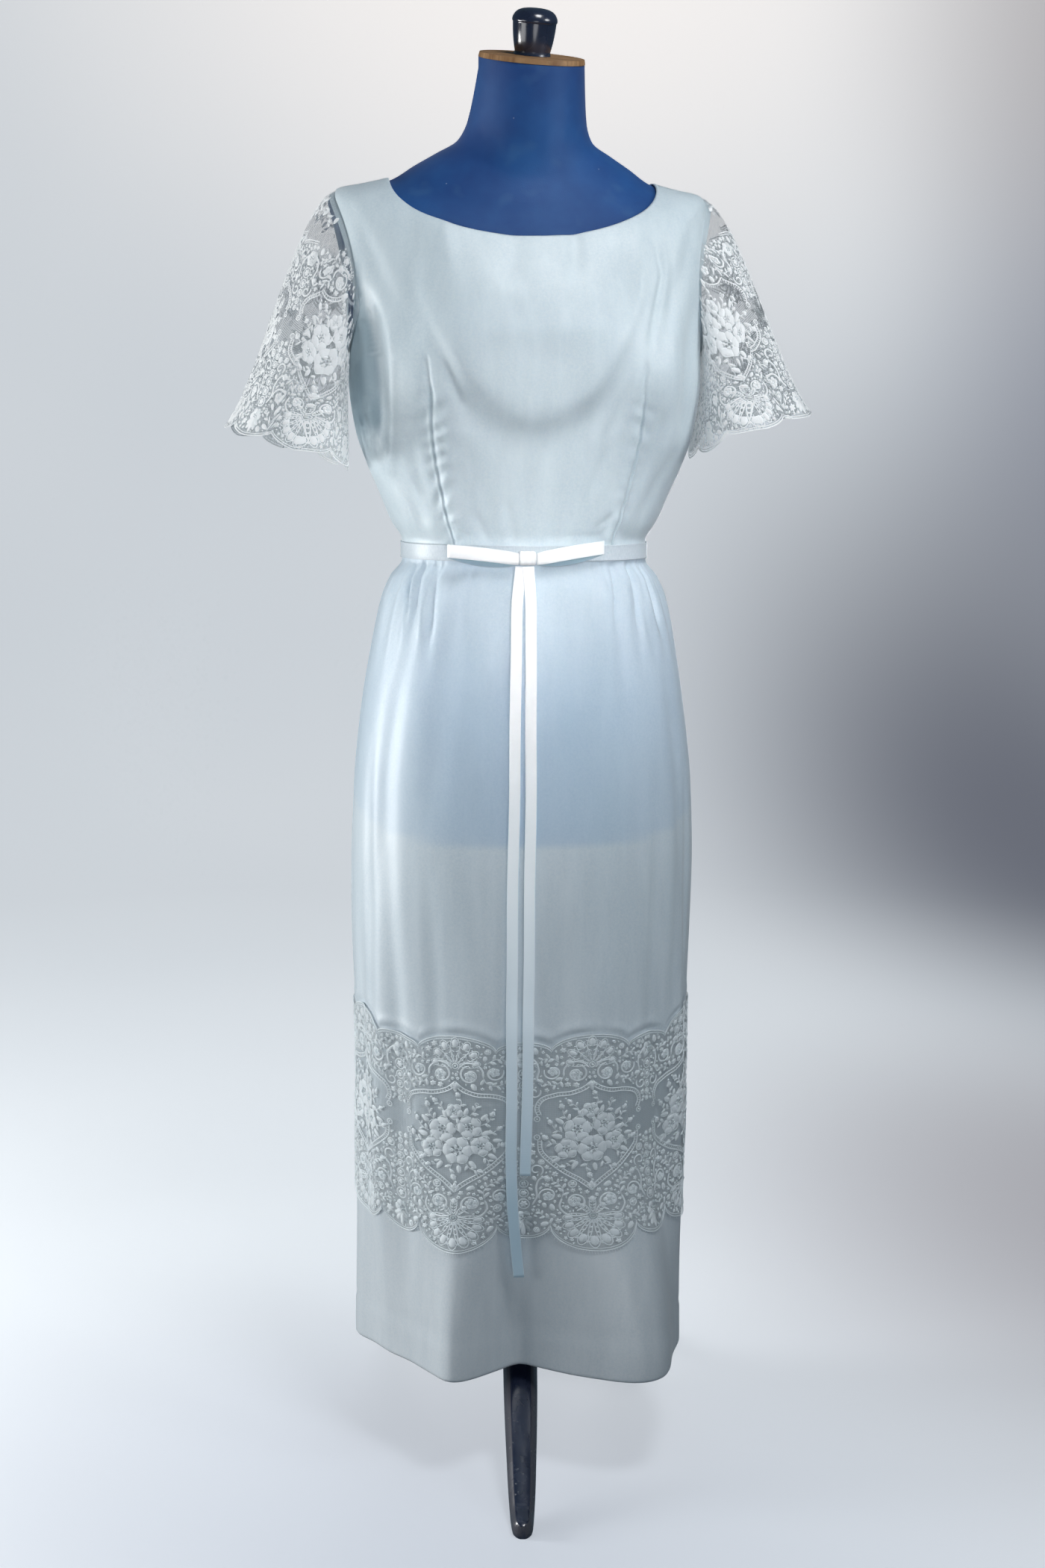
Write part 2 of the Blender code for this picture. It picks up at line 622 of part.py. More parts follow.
def belt_rows():
    heights = [-BELT_HEIGHT / 2, BELT_HEIGHT / 2]
    return [
        [gown_point(360.0 * j / 56, 0.0, BELT_LIFT + RIBBON) + Vector((0, 0, height)) for j in range(56)]
        for height in heights
    ]


def bow_loop_path(tip_rise):
    """The ribbon's way round one loop, seen from above, as distances out, back and up from the knot."""
    knot_half, front, knot_bend, tip_bend = 0.0089, -0.1080, 0.0017, 0.0026
    shape = [(knot_bend * (1 - math.cos(a)), -knot_bend * math.sin(a)) for a in (0.0, 0.6, 1.15)]
    half_depth = smooth_curve([0.0, 0.45, 0.8, 1.0], [knot_bend, 0.0032, 0.0033, tip_bend])
    for along in spread(0.05, 0.96, 8):
        shape.append((LOOP_LENGTH * along, -half_depth(along)))
    shape.append((LOOP_LENGTH * 0.988, -tip_bend * 0.74))
    shape.append((LOOP_LENGTH, -tip_bend * 0.27))
    returning = [(out, -back) for out, back in reversed(shape[1:])]
    path = []
    for out, back in shape + returning:
        along = out / LOOP_LENGTH
        path.append((knot_half + out, front + 0.0140 * along**1.6 + back, tip_rise * along - 0.0018))
    return path


def bow_loop_rows(side):
    """One loop of the bow: a ribbon that leaves the knot, turns and comes back behind itself."""
    path = bow_loop_path(0.0110 if side > 0 else 0.0075)
    rows = []
    for edge in (-LOOP_WIDTH / 2, LOOP_WIDTH / 2):
        rows.append([Vector((KNOT_X + side * x, y, KNOT_HEIGHT + rise + edge)) for x, y, rise in path])
    return rows if side > 0 else [list(reversed(row)) for row in rows]


def tail_rows(points, above):
    """A ribbon that hangs from the knot down the front of the skirt, over the lace.

    above is how far forward its top lies, where one tail overlaps the other.
    """
    middle = smooth_curve([-p.height for p in points], [p.x for p in points])
    top, bottom = points[0].height, points[-1].height
    rows = []
    for height in spread(bottom, top, 20):
        centre = middle(-height)
        ahead = middle(-height + 0.004) - middle(-height - 0.004)
        tilt = math.atan2(ahead, 0.008)
        clear = 0.0020 + 0.0030 * smooth_step((-0.44 - height) / 0.05)
        clear += above * smooth_step((height + 0.085) / 0.04)
        row = []
        for half in (-RIBBON_WIDTH / 2, RIBBON_WIDTH / 2):
            x = centre + half * math.cos(tilt)
            place = height + half * math.sin(tilt)
            row.append(Vector((x, tail_depth(height) - clear, WAIST_HEIGHT + place)))
        rows.append(row)
    return rows


def tail_depth(height):
    """How far forward the skirt reaches behind the tails, so that they hang clear of it."""
    return min(
        gown_point(angle, min(height + step, -0.001)).y
        for angle in (-13, -8, -4, 0)
        for step in (-0.02, 0, 0.02)
    )


def make_gown(collection, satin, lace, ribbon):
    cloth("bodice_front", front_bodice_rows(), CLOTH, satin, collection)
    cloth("bodice_back_right", back_bodice_rows(1), CLOTH, satin, collection)
    cloth("bodice_back_left", back_bodice_rows(-1), CLOTH, satin, collection)
    cloth("skirt_front", skirt_rows(*SKIRT_PANELS[0]), CLOTH, satin, collection)
    cloth("skirt_back_right", skirt_rows(*SKIRT_PANELS[1]), CLOTH, satin, collection)
    cloth("skirt_back_left", skirt_rows(*SKIRT_PANELS[2]), CLOTH, satin, collection)
    cloth("sleeve_right", sleeve_rows(1), LACE, lace, collection, closed=True)
    cloth("sleeve_left", sleeve_rows(-1), LACE, lace, collection, closed=True)
    cloth("lace_band", band_rows(112), LACE, lace, collection, closed=True)
    cloth("belt", belt_rows(), RIBBON, ribbon, collection, closed=True)


def make_bow(collection, ribbon):
    cloth("bow_loop_right", bow_loop_rows(1), RIBBON, ribbon, collection, closed=True)
    cloth("bow_loop_left", bow_loop_rows(-1), RIBBON, ribbon, collection, closed=True)
    cloth("bow_tail_long", tail_rows(LONG_TAIL, 0.0), RIBBON, ribbon, collection)
    cloth("bow_tail_short", tail_rows(SHORT_TAIL, 0.0016), RIBBON, ribbon, collection)
    mesh = bpy.data.meshes.new("bow_knot")
    body = bmesh.new()
    bmesh.ops.create_cube(body, size=1.0)
    size = Matrix.Diagonal(Vector((0.0170, 0.0110, 0.0150, 1.0)))
    bmesh.ops.transform(body, matrix=size, verts=body.verts)
    bmesh.ops.bevel(body, geom=body.edges, offset=0.0022, segments=3, affect="EDGES")
    body.to_mesh(mesh)
    body.free()
    knot = add_object("bow_knot", mesh, ribbon, collection)
    knot.location = (KNOT_X, -0.1059, KNOT_HEIGHT - 0.001)


NECK_TOP = 0.489
NECK_SLOPE_SIDE = -0.049
NECK_SLOPE_BACK = 0.238
CAP_RADIUS = 0.0540
CAP_THICK = 0.0048
NECK_MIDDLE = (0.0030, -0.0150)


def neck_plane(x, y):
    """The sloping plane that the form's neck is cut to."""
    return (
        WAIST_HEIGHT
        + NECK_TOP
        + NECK_SLOPE_SIDE * (x - NECK_MIDDLE[0])
        + NECK_SLOPE_BACK * (y - NECK_MIDDLE[1])
    )


TORSO_BOTTOM = -0.293
TORSO_STATIONS = [
    -0.285, -0.25, -0.20, -0.15, -0.10, -0.06, -0.03, 0.0, 0.03, 0.06, 0.10, 0.14, 0.18, 0.22, 0.26, 0.30,
    0.333, 0.352, 0.366, 0.387, 0.410, 0.437, 0.460, 0.480, 0.501, 0.530,
]


def make_form(collection, skin, wood, finial_paint):
    angles = [360.0 * j / 32 for j in range(32)]
    bottom = [form_point(angle, TORSO_BOTTOM) for angle in angles]
    base = [Vector((p.x * 0.955, p.y * 0.955, WAIST_HEIGHT + TORSO_BOTTOM)) for p in bottom]
    rings = [base] + [[form_point(angle, station) for angle in angles] for station in TORSO_STATIONS]
    top = [form_point(angle, RINGS[-1].station) for angle in angles]
    rings.append([Vector((p.x, p.y, neck_plane(p.x, p.y))) for p in top])
    solid_loft("form_torso", rings, skin, collection)

    slope = Vector((-NECK_SLOPE_SIDE, -NECK_SLOPE_BACK, 1.0)).normalized()
    mesh = bpy.data.meshes.new("form_neck_cap")
    disc = bmesh.new()
    bmesh.ops.create_cone(
        disc, cap_ends=True, segments=40, radius1=CAP_RADIUS, radius2=CAP_RADIUS - 0.001, depth=CAP_THICK
    )
    disc.to_mesh(mesh)
    disc.free()
    cap = add_object("form_neck_cap", mesh, wood, collection)
    cap.location = Vector((*NECK_MIDDLE, neck_plane(*NECK_MIDDLE))) + slope * (TOUCH_GAP + CAP_THICK / 2)
    cap.rotation_mode = "QUATERNION"
    cap.rotation_quaternion = slope.to_track_quat("Z", "Y")

    profile = [
        (0.0, 0.0450), (0.0090, 0.0445), (0.0160, 0.0425), (0.0200, 0.0395), (0.0220, 0.0355),
        (0.0228, 0.0330), (0.0224, 0.0305), (0.0214, 0.0200), (0.0190, 0.0060), (0.0172, 0.0), (0.0, 0.0),
    ]
    finial = turned("form_finial", profile, 20, (0.0, 0.0, 0.0), finial_paint, collection)
    finial.location = cap.location + slope * (CAP_THICK / 2 + TOUCH_GAP)
    finial.rotation_mode = "QUATERNION"
    finial.rotation_quaternion = slope.to_track_quat("Z", "Y")


HUB_TOP = 0.170
HUB_BOTTOM = 0.078
HUB_RADIUS = 0.030


def leg_ring(point, direction):
    """A cross-section of a leg, flat below and rounded above, across its way out from the hub."""
    across = Vector((-direction.y, direction.x, 0.0))
    outline = [
        (-0.80, -1.0), (-0.98, -0.70), (-1.0, 0.15), (-0.82, 0.70), (-0.42, 1.0),
        (0.42, 1.0), (0.82, 0.70), (1.0, 0.15), (0.98, -0.70), (0.80, -1.0),
    ]
    middle = direction * point.reach + Vector((0.0, 0.0, point.centre))
    return [
        middle + across * (point.half_width * a) + Vector((0.0, 0.0, point.half_height * b))
        for a, b in outline
    ]


def make_stand(collection, black):
    turns = {
        "stand_leg_front": LEG_TURN,
        "stand_leg_back_right": 180.0 - BACK_LEG_SPREAD + LEG_TURN,
        "stand_leg_back_left": 180.0 + BACK_LEG_SPREAD + LEG_TURN,
    }
    for name, turn in turns.items():
        direction = Vector((math.sin(math.radians(turn)), -math.cos(math.radians(turn)), 0.0))
        hub_clear = HUB_RADIUS + TOUCH_GAP - LEG_PATH[0].reach
        path = [LEG_PATH[0]._replace(reach=LEG_PATH[0].reach + hub_clear), *LEG_PATH[1:]]
        solid_loft(name, [leg_ring(point, direction) for point in path], black, collection)
    hub = [
        (0.0, HUB_TOP), (0.020, HUB_TOP), (0.024, HUB_TOP - 0.006), (0.022, HUB_TOP - 0.018),
        (HUB_RADIUS, HUB_TOP - 0.034), (HUB_RADIUS, HUB_BOTTOM + 0.008), (0.022, HUB_BOTTOM),
        (0.0, HUB_BOTTOM),
    ]
    turned("stand_hub", hub, 24, (0.0, 0.0, 0.0), black, collection)
    low, high = HUB_TOP + TOUCH_GAP, WAIST_HEIGHT + TORSO_BOTTOM - TOUCH_GAP
    pole = [(0.0, high), (POLE_RADIUS, high), (POLE_RADIUS, low), (0.0, low)]
    turned("stand_pole", pole, 20, (0.0, 0.0, 0.0), black, collection)


def clear_scene():
    for obj in list(bpy.data.objects):
        bpy.data.objects.remove(obj)


def main():
    clear_scene()
    collection = bpy.data.collections.new("wedding_gown_on_dress_form")
    bpy.context.scene.collection.children.link(collection)
    satin = material("ivory_satin", (0.80, 0.85, 0.86), 0.42)
    lace = material("ivory_lace", (0.86, 0.88, 0.87), 0.75)
    ribbon = material("ribbon_satin", (0.88, 0.91, 0.92), 0.35)
    skin = material("blue_form_cloth", (0.02, 0.10, 0.30), 0.75)
    wood = material("plain_wood", (0.42, 0.25, 0.12), 0.55)
    black = material("black_lacquer", (0.02, 0.02, 0.035), 0.25)
    make_form(collection, skin, wood, black)
    make_stand(collection, black)
    make_gown(collection, satin, lace, ribbon)
    make_bow(collection, ribbon)
    for obj in collection.objects:
        obj.location += POLE_PLACE


main()
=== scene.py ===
"""Looks of the column wedding gown with lace sleeves and lace band, on its blue dress form and stand.

Everything is in metres in the CAD frame: +Z up, the gown's front faces -Y. Heights inside the gown's
tables are measured up from the waist seam, and angles go round the pole: 0 at the front, 90 at +X.
"""

import math

import bmesh
import bpy
import numpy as np
from mathutils import Matrix, Vector


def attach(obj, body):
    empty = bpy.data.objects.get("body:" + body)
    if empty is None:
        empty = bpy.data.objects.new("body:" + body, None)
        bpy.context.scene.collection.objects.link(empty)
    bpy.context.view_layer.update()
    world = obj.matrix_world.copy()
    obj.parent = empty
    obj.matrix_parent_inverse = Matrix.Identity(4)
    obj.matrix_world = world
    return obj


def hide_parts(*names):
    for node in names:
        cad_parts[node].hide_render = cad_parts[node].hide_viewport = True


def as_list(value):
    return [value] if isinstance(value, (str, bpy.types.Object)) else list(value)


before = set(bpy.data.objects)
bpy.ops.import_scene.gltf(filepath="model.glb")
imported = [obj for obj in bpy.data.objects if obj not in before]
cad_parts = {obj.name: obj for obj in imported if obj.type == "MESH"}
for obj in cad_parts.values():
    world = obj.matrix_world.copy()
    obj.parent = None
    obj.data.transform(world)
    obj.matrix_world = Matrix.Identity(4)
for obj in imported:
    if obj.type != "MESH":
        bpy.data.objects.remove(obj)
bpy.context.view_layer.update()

POLE = np.array([0.0025, 0.0165, 0.0])
WAIST = 0.966

# Driving sizes, the same as the solids have
HEM, HEM_DEPTH = -0.8515, 0.045
ARMPIT, SHOULDER_TIP = 0.200, 0.366
ARMHOLE_FRONT, ARMHOLE_BACK = 27.0, 24.0
NECK_FRONT, NECK_BACK, NECK_SHOULDER = 0.367, 0.378, 0.410
ARMHOLE_MIDDLE, ARMHOLE_HALF = (ARMPIT + SHOULDER_TIP) / 2, (SHOULDER_TIP - ARMPIT) / 2
DART_AT_WAIST, DART_LEAN, DART_TOP, DART_SHARE = 38.5, 28.0, 0.185, 0.4
REPEATS, REPEAT_TURN, LOBE_ANGLE = 8, 45.0, 18.1
BAND_TOP, BAND_BOTTOM = -0.502, -0.691
BAND_TOP_LOBE, BAND_BOTTOM_LOBE, BAND_SIDE_RISE = 0.014, 0.025, 0.015
TORSO_BOTTOM = -0.293
SATIN_WALL = 0.0009
# Mean radii and lengths that lay the cloth's own flat layout out, for its weave
BODICE_RADIUS, SKIRT_RADIUS, BELT_ROUND = 0.16, 0.17, 0.72
SLEEVE_ROUND, SLEEVE_DEEP, BINDING_ROUND = 0.48, 0.17, 0.40
SIDES = {1: "right", -1: "left"}
KNOT_X, KNOT_HEIGHT = -0.0094, 0.963

RING_FIELDS = ("front side back half_width front_depth back_depth middle_x middle_y square"
               " gap_side gap_front gap_back").split()
# Level rings: height, half width, depth in front and behind, squareness and the form's gap at the side,
# in front and behind. Above the arms the rings tilt and shift, and have a value for every field.
LEVEL_RINGS = [
    (-0.8515, 0.1785, 0.15, 0.152, 0.03, 0.03, 0.02, 0.02),
    (-0.7, 0.1785, 0.145, 0.15, 0.03, 0.03, 0.02, 0.02),
    (-0.5, 0.179, 0.138, 0.148, 0.03, 0.03, 0.02, 0.02),
    (-0.33, 0.1825, 0.131, 0.146, 0.03, 0.031, 0.009, 0.012),
    (-0.25, 0.179, 0.1265, 0.142, 0.03, 0.025, 0.0065, 0.008),
    (-0.17, 0.1705, 0.1215, 0.136, 0.03, 0.0185, 0.0065, 0.007),
    (-0.1, 0.16, 0.115, 0.123, 0.03, 0.014, 0.007, 0.007),
    (-0.05, 0.15, 0.1085, 0.108, 0.03, 0.01, 0.007, 0.007),
    (-0.028, 0.1405, 0.104, 0.098, 0.03, 0.008, 0.007, 0.007),
    (-0.01, 0.1275, 0.0985, 0.0885, 0.03, 0.006, 0.006, 0.006),
    (0.0, 0.1275, 0.0985, 0.0885, 0.03, 0.006, 0.006, 0.006),
    (0.01, 0.1275, 0.0985, 0.0885, 0.03, 0.006, 0.006, 0.006),
    (0.027, 0.1375, 0.102, 0.091, 0.03, 0.011, 0.007, 0.006),
    (0.058, 0.151, 0.107, 0.095, 0.035, 0.02, 0.0095, 0.007),
    (0.089, 0.1645, 0.113, 0.099, 0.04, 0.028, 0.011, 0.008),
    (0.12, 0.1745, 0.119, 0.103, 0.045, 0.032, 0.011, 0.008),
    (0.17, 0.1815, 0.1245, 0.108, 0.05, 0.032, 0.009, 0.007),
]
RINGS = [(z, z, z, z, wide, front, back, 0.0, 0.0, *rest) for z, wide, front, back, *rest in LEVEL_RINGS] + [
    (0.21, 0.208, 0.21, 0.21, 0.183, 0.1245, 0.1095, -0.001, 0.001, 0.05, 0.029, 0.008, 0.006),
    (0.25, 0.237, 0.25, 0.248, 0.186, 0.1205, 0.1085, -0.002, 0.003, 0.05, 0.023, 0.007, 0.0055),
    (0.295, 0.264, 0.295, 0.288, 0.19, 0.115, 0.104, -0.0035, 0.006, 0.05, 0.0145, 0.006, 0.005),
    (0.335, 0.289, 0.335, 0.322, 0.192, 0.108, 0.0975, -0.0045, 0.009, 0.05, 0.0074, 0.0056, 0.0056),
    (0.355, 0.303, 0.353, 0.34, 0.1925, 0.1035, 0.092, -0.005, 0.011, 0.045, 0.0052, 0.005, 0.005),
    (0.366, 0.311, 0.362, 0.35, 0.187, 0.1005, 0.0885, -0.0055, 0.012, 0.04, 0.0044, 0.0044, 0.0046),
    (0.387, 0.322, 0.3685, 0.363, 0.162, 0.095, 0.082, -0.0055, 0.012, 0.03, 0.0040, 0.0040, 0.0042),
    (0.41, 0.334, 0.3755, 0.374, 0.136, 0.0885, 0.075, -0.0045, 0.011, 0.02, 0.0036, 0.0036, 0.0038),
    (0.437, 0.347, 0.389, 0.386, 0.111, 0.08, 0.067, -0.0035, 0.009, 0.01, 0.0018, 0.0018, 0.0018),
    (0.46, 0.359, 0.4005, 0.397, 0.089, 0.071, 0.059, -0.0025, 0.006, 0.0, 0.0006, 0.0006, 0.0006),
    (0.48, 0.372, 0.412, 0.408, 0.069, 0.062, 0.056, -0.0015, 0.001, 0.0, 0.0, 0.0, 0.0),
    (0.501, 0.393, 0.431, 0.429, 0.0605, 0.057, 0.0545, 0.0, -0.004, 0.0, 0.0, 0.0, 0.0),
    (0.53, 0.425, 0.455, 0.462, 0.0566, 0.055, 0.0535, 0.0015, -0.009, 0.0, 0.0, 0.0, 0.0),
    (0.565, 0.469, 0.482, 0.494, 0.0535, 0.053, 0.053, 0.003, -0.014, 0.0, 0.0, 0.0, 0.0),
]
HEM_OUTLINE = [
    (-87.0, 0.1835), (-67.0, 0.1620), (-44.0, 0.1645), (-29.0, 0.1850), (-7.0, 0.1130), (15.0, 0.1545),
    (30.0, 0.2060), (39.0, 0.2140), (49.0, 0.1960), (76.0, 0.1775), (101.0, 0.1660), (127.0, 0.1740),
    (147.0, 0.1830), (168.0, 0.1440), (188.0, 0.1480), (212.0, 0.1760), (232.0, 0.1790), (252.0, 0.1680),
]
HEM_SOFTNESS, HEM_SHAPE_TOP, GATHER_END = 4.0, -0.60, -0.150

# Folds of the skirt: angle, half angle, depth (negative lies inward), where it begins, where it is deepest
GATHERS = [
    (34.0, 3.4, -0.0024, -0.012, -0.034), (42.0, 3.6, -0.0032, -0.012, -0.040),
    (51.0, 4.0, -0.0036, -0.012, -0.046), (60.5, 4.0, -0.0036, -0.012, -0.040),
    (70.0, 4.2, -0.0030, -0.012, -0.034), (118.0, 4.4, -0.0030, -0.012, -0.038),
    (130.0, 4.4, -0.0036, -0.012, -0.044), (143.0, 4.4, -0.0030, -0.012, -0.038),
]
LONG_FOLDS = [
    (-7.0, 7.0, -0.0050, -0.42, -0.72), (48.0, 6.0, -0.0055, -0.32, -0.62),
    (61.0, 5.5, 0.0045, -0.32, -0.60), (73.0, 5.0, -0.0040, -0.30, -0.55),
    (-48.0, 6.0, -0.0045, -0.34, -0.60), (-61.0, 5.0, 0.0035, -0.34, -0.60),
    (-74.0, 5.5, -0.0045, -0.30, -0.58), (131.0, 7.0, -0.0060, -0.34, -0.62),
    (163.0, 6.5, -0.0050, -0.34, -0.62), (-128.0, 7.0, -0.0055, -0.34, -0.62),
    (-152.0, 6.5, 0.0045, -0.34, -0.62), (-168.0, 6.0, -0.0045, -0.36, -0.62),
]
SLEEVE_HEMS = {
    1: (0.2380, 0.004, 0.1290, 0.0620, 0.088, 0.016, 0.030),
    -1: (0.2440, 0.004, 0.1060, 0.0610, 0.088, 0.020, 0.021),
}
# Tails of the bow: height and x
LONG_TAIL = [(-0.0122, -0.0160), (-0.0570, -0.0208), (-0.0800, -0.0212), (-0.2880, -0.0248),
             (-0.5775, -0.0272), (-0.6600, -0.0255), (-0.7050, -0.0222), (-0.7455, -0.0178)]
SHORT_TAIL = [
    (-0.0120, -0.0088), (-0.0570, -0.0066), (-0.2880, -0.0078), (-0.4500, -0.0095), (-0.6335, -0.0122),
]


# The gown's surface
def curve(xs, ys):
    """A curve through the points that never swings past them, for arrays."""
    xs, ys = np.array(xs, float), np.array(ys, float)
    slopes = np.diff(ys) / np.diff(xs)
    before, after = slopes[:-1], slopes[1:]
    safe = np.where(before * after > 0, before + after, 1.0)
    inner = np.where(before * after > 0, 2 * before * after / safe, 0.0)
    tangents = np.concatenate([[slopes[0]], inner, [slopes[-1]]])

    def value(x):
        x = np.clip(x, xs[0], xs[-1])
        i = np.clip(np.searchsorted(xs, x, side="left") - 1, 0, len(xs) - 2)
        width = xs[i + 1] - xs[i]
        t = (x - xs[i]) / width
        start = (1 + 2 * t) * (1 - t) ** 2 * ys[i] + t * (1 - t) ** 2 * width * tangents[i]
        return start + t * t * (3 - 2 * t) * ys[i + 1] + t * t * (t - 1) * width * tangents[i + 1]

    return value


RING_HEIGHTS = [row[0] for row in RINGS]
RING = {name: curve(RING_HEIGHTS, [row[k] for row in RINGS]) for k, name in enumerate(RING_FIELDS, 1)}


def all_round(count):
    """Angles all the way round."""
    return np.arange(count) * 360.0 / count


def cross(columns, rows):
    """Two grids: the value of its column and the value of its row at each place."""
    return np.broadcast_arrays(columns[None, :], rows[:, None])


def step(value):
    """A soft step from 0 to 1 as the value goes from 0 to 1."""
    t = np.clip(value, 0.0, 1.0)
    return t * t * (3 - 2 * t)


def bell(distance, half_width):
    """1 at no distance, falling off smoothly to about a third at the half width."""
    return np.exp(-((distance / half_width) ** 2))


def apart(a, b):
    """How far an angle lies from another, between -180 and 180."""
    return (a - b + 180.0) % 360.0 - 180.0


def lengths_along(line):
    """How far each point of a line lies from its start, measured along it."""
    return np.concatenate([[0.0], np.cumsum(np.hypot(*np.diff(line, axis=0).T))])


def hem_table():
    """The hem's radius all round, straight between its corners and then softened."""
    corners = [(a + turn, r) for turn in (-360.0, 0.0, 360.0) for a, r in HEM_OUTLINE]
    angles = np.arange(-200.0, 200.01, 0.25)
    at = np.array([a for a, _ in corners])
    radius = np.array([r for _, r in corners])
    i = np.searchsorted(at, angles, side="right") - 1
    width = np.sin(np.radians(at[i + 1] - at[i]))
    lead, lag = np.sin(np.radians(at[i + 1] - angles)), np.sin(np.radians(angles - at[i]))
    straight = radius[i] * radius[i + 1] * width / (radius[i] * lag + radius[i + 1] * lead)
    offsets, weights = np.arange(-1.5, 1.6, 0.5), np.array([1, 2, 3, 4, 3, 2, 1])
    soft = sum(w * np.interp(angles + HEM_SOFTNESS * o, angles, straight) for w, o in zip(weights, offsets))
    return angles, soft / weights.sum()


HEM_ANGLES, HEM_RADII = hem_table()


def bust(angle, station):
    return 0.0075 * bell(np.abs(angle) - 34.0, 19.0) * bell(station - 0.188, 0.052)


def shoulder_fold(angle, station):
    centre = 36.0 + 30.0 * (station - DART_TOP) / (NECK_SHOULDER - DART_TOP)
    along = step((station - 0.16) / 0.05) * step((0.365 - station) / 0.06)
    return -0.0022 * along * bell(np.abs(angle) - centre, 5.0)


def skirt_fold(angle, station):
    total = np.zeros_like(station)
    for centre, half, depth, top, full in GATHERS:
        along = step((top - station) / (top - full)) * step((station - GATHER_END) / (full - GATHER_END))
        total += depth * along * bell(np.abs(angle) - centre, half)
    for centre, half, depth, top, full in LONG_FOLDS:
        total += depth * step((top - station) / (top - full)) * bell(apart(angle, centre), half)
    return total


def plain_point(angle, station):
    """Points of the gown's smooth surface, without folds."""
    ring = {name: value(station) for name, value in RING.items()}
    turn = np.radians(angle)
    side, ahead = np.sin(turn), np.cos(turn)
    squared = 1 + ring["square"] * np.sin(2 * turn) ** 2
    depth = np.where(ahead > 0, ring["front_depth"], ring["back_depth"])
    near = np.where(ahead > 0, ring["front"], ring["back"])
    height = near * ahead**2 + ring["side"] * side**2
    across = ring["middle_x"] + ring["half_width"] * side * squared
    away = ring["middle_y"] - depth * ahead * squared
    return np.stack([across, away, WAIST + height], axis=-1)


def unit(v):
    return v / np.maximum(np.linalg.norm(v, axis=-1, keepdims=True), 1e-12)


def outward(angle, station):
    """The unit directions out of the smooth surface."""
    across = plain_point(angle + 0.5, station) - plain_point(angle - 0.5, station)
    upward = plain_point(angle, station + 0.001) - plain_point(angle, station - 0.001)
    return unit(np.cross(across, upward))


def gown_point(angle, station, lift=0.0):
    """Points of the gown's outside with its folds, or lift above it."""
    angle, station = np.broadcast_arrays(np.asarray(angle, float), np.asarray(station, float))
    lift = np.broadcast_to(lift, angle.shape)
    point = plain_point(angle, station)
    share = step((HEM_SHAPE_TOP - station) / (HEM_SHAPE_TOP - HEM))
    reach = np.hypot(point[..., 0], point[..., 1])
    turn = np.degrees(np.arctan2(point[..., 0], -point[..., 1]))
    fold = skirt_fold(angle, station) * (1 - 0.7 * share)
    wanted = reach + share * (np.interp(turn, HEM_ANGLES, HEM_RADII) - reach) + fold
    scale = ((wanted + lift) / reach)[..., None]
    skirt = point * np.concatenate([scale, scale, np.ones_like(scale)], axis=-1)
    push = (bust(angle, station) + shoulder_fold(angle, station) + lift)[..., None]
    bodice = point + outward(angle, station) * push
    return np.where((station < 0)[..., None], skirt, bodice)


def form_gap(angle, station):
    """How far the form lies behind the gown."""
    turn = np.radians(angle)
    near = np.where(np.cos(turn) > 0, RING["gap_front"](station), RING["gap_back"](station))
    return near * np.cos(turn) ** 2 + RING["gap_side"](station) * np.sin(turn) ** 2


def form_point(angle, station):
    rounding = np.where(station > 0, bust(angle, station), 0.0)
    back = (rounding - form_gap(angle, station))[..., None]
    return plain_point(angle, station) + outward(angle, station) * back


# Making pieces
def grid_faces(rows, columns, closed=False):
    """Quads over rows of points. Seen from outside, columns run left to right and rows upward."""
    i, j = np.meshgrid(np.arange(rows - 1), np.arange(columns if closed else columns - 1), indexing="ij")
    after = (j + 1) % columns
    row, above = i * columns, (i + 1) * columns
    return np.stack([row + j, row + after, above + after, above + j], -1).reshape(-1, 4)


def capped_faces(rows, columns):
    """The faces of a tube of rows of points, with one face over each end."""
    caps = [list(reversed(range(columns))), list(range((rows - 1) * columns, rows * columns))]
    return grid_faces(rows, columns, closed=True).tolist() + caps


def turn_outwards(mesh, weld):
    """Join points nearer than weld, and turn every face of the mesh outwards."""
    body = bmesh.new()
    body.from_mesh(mesh)
    if weld:
        bmesh.ops.remove_doubles(body, verts=body.verts, dist=weld)
    bmesh.ops.recalc_face_normals(body, faces=body.faces)
    body.to_mesh(mesh)
    body.free()


def make_mesh(name, points, faces, uv=None, tints=None, angle=50.0, weld=None):
    """A mesh from points and faces. uv has one pair in metres and tints one number for each point. With weld
    given, nearer points are joined and the faces turned outwards."""
    mesh = bpy.data.meshes.new(name)
    rows = faces.tolist() if isinstance(faces, np.ndarray) else faces
    mesh.from_pydata(np.asarray(points).reshape(-1, 3).tolist(), [], [tuple(row) for row in rows])
    if uv is not None:
        corner = np.zeros(len(mesh.loops), np.int32)
        mesh.loops.foreach_get("vertex_index", corner)
        layer = mesh.uv_layers.new(name="cloth")
        layer.data.foreach_set("uv", np.asarray(uv, np.float32).reshape(-1, 2)[corner].ravel())
    for key, values in (tints or {}).items():
        layer = mesh.attributes.new(key, "FLOAT", "POINT")
        layer.data.foreach_set("value", np.asarray(values, np.float32).ravel())
    if weld is not None:
        turn_outwards(mesh, weld)
    mesh.shade_smooth()
    if angle:
        mesh.set_sharp_from_angle(angle=math.radians(angle))
    return mesh


def add_piece(name, mesh, paint, node=None, thickness=0.0):
    """A visible piece on the root body, standing for a CAD node if one is named."""
    obj = bpy.data.objects.new(name, mesh)
    bpy.context.scene.collection.objects.link(obj)
    mesh.materials.append(paint)
    if thickness:
        wall = obj.modifiers.new("thickness", "SOLIDIFY")
        wall.thickness = thickness
        wall.offset = -1.0
    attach(obj, "root")
    if node:
        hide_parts(node)
    return obj


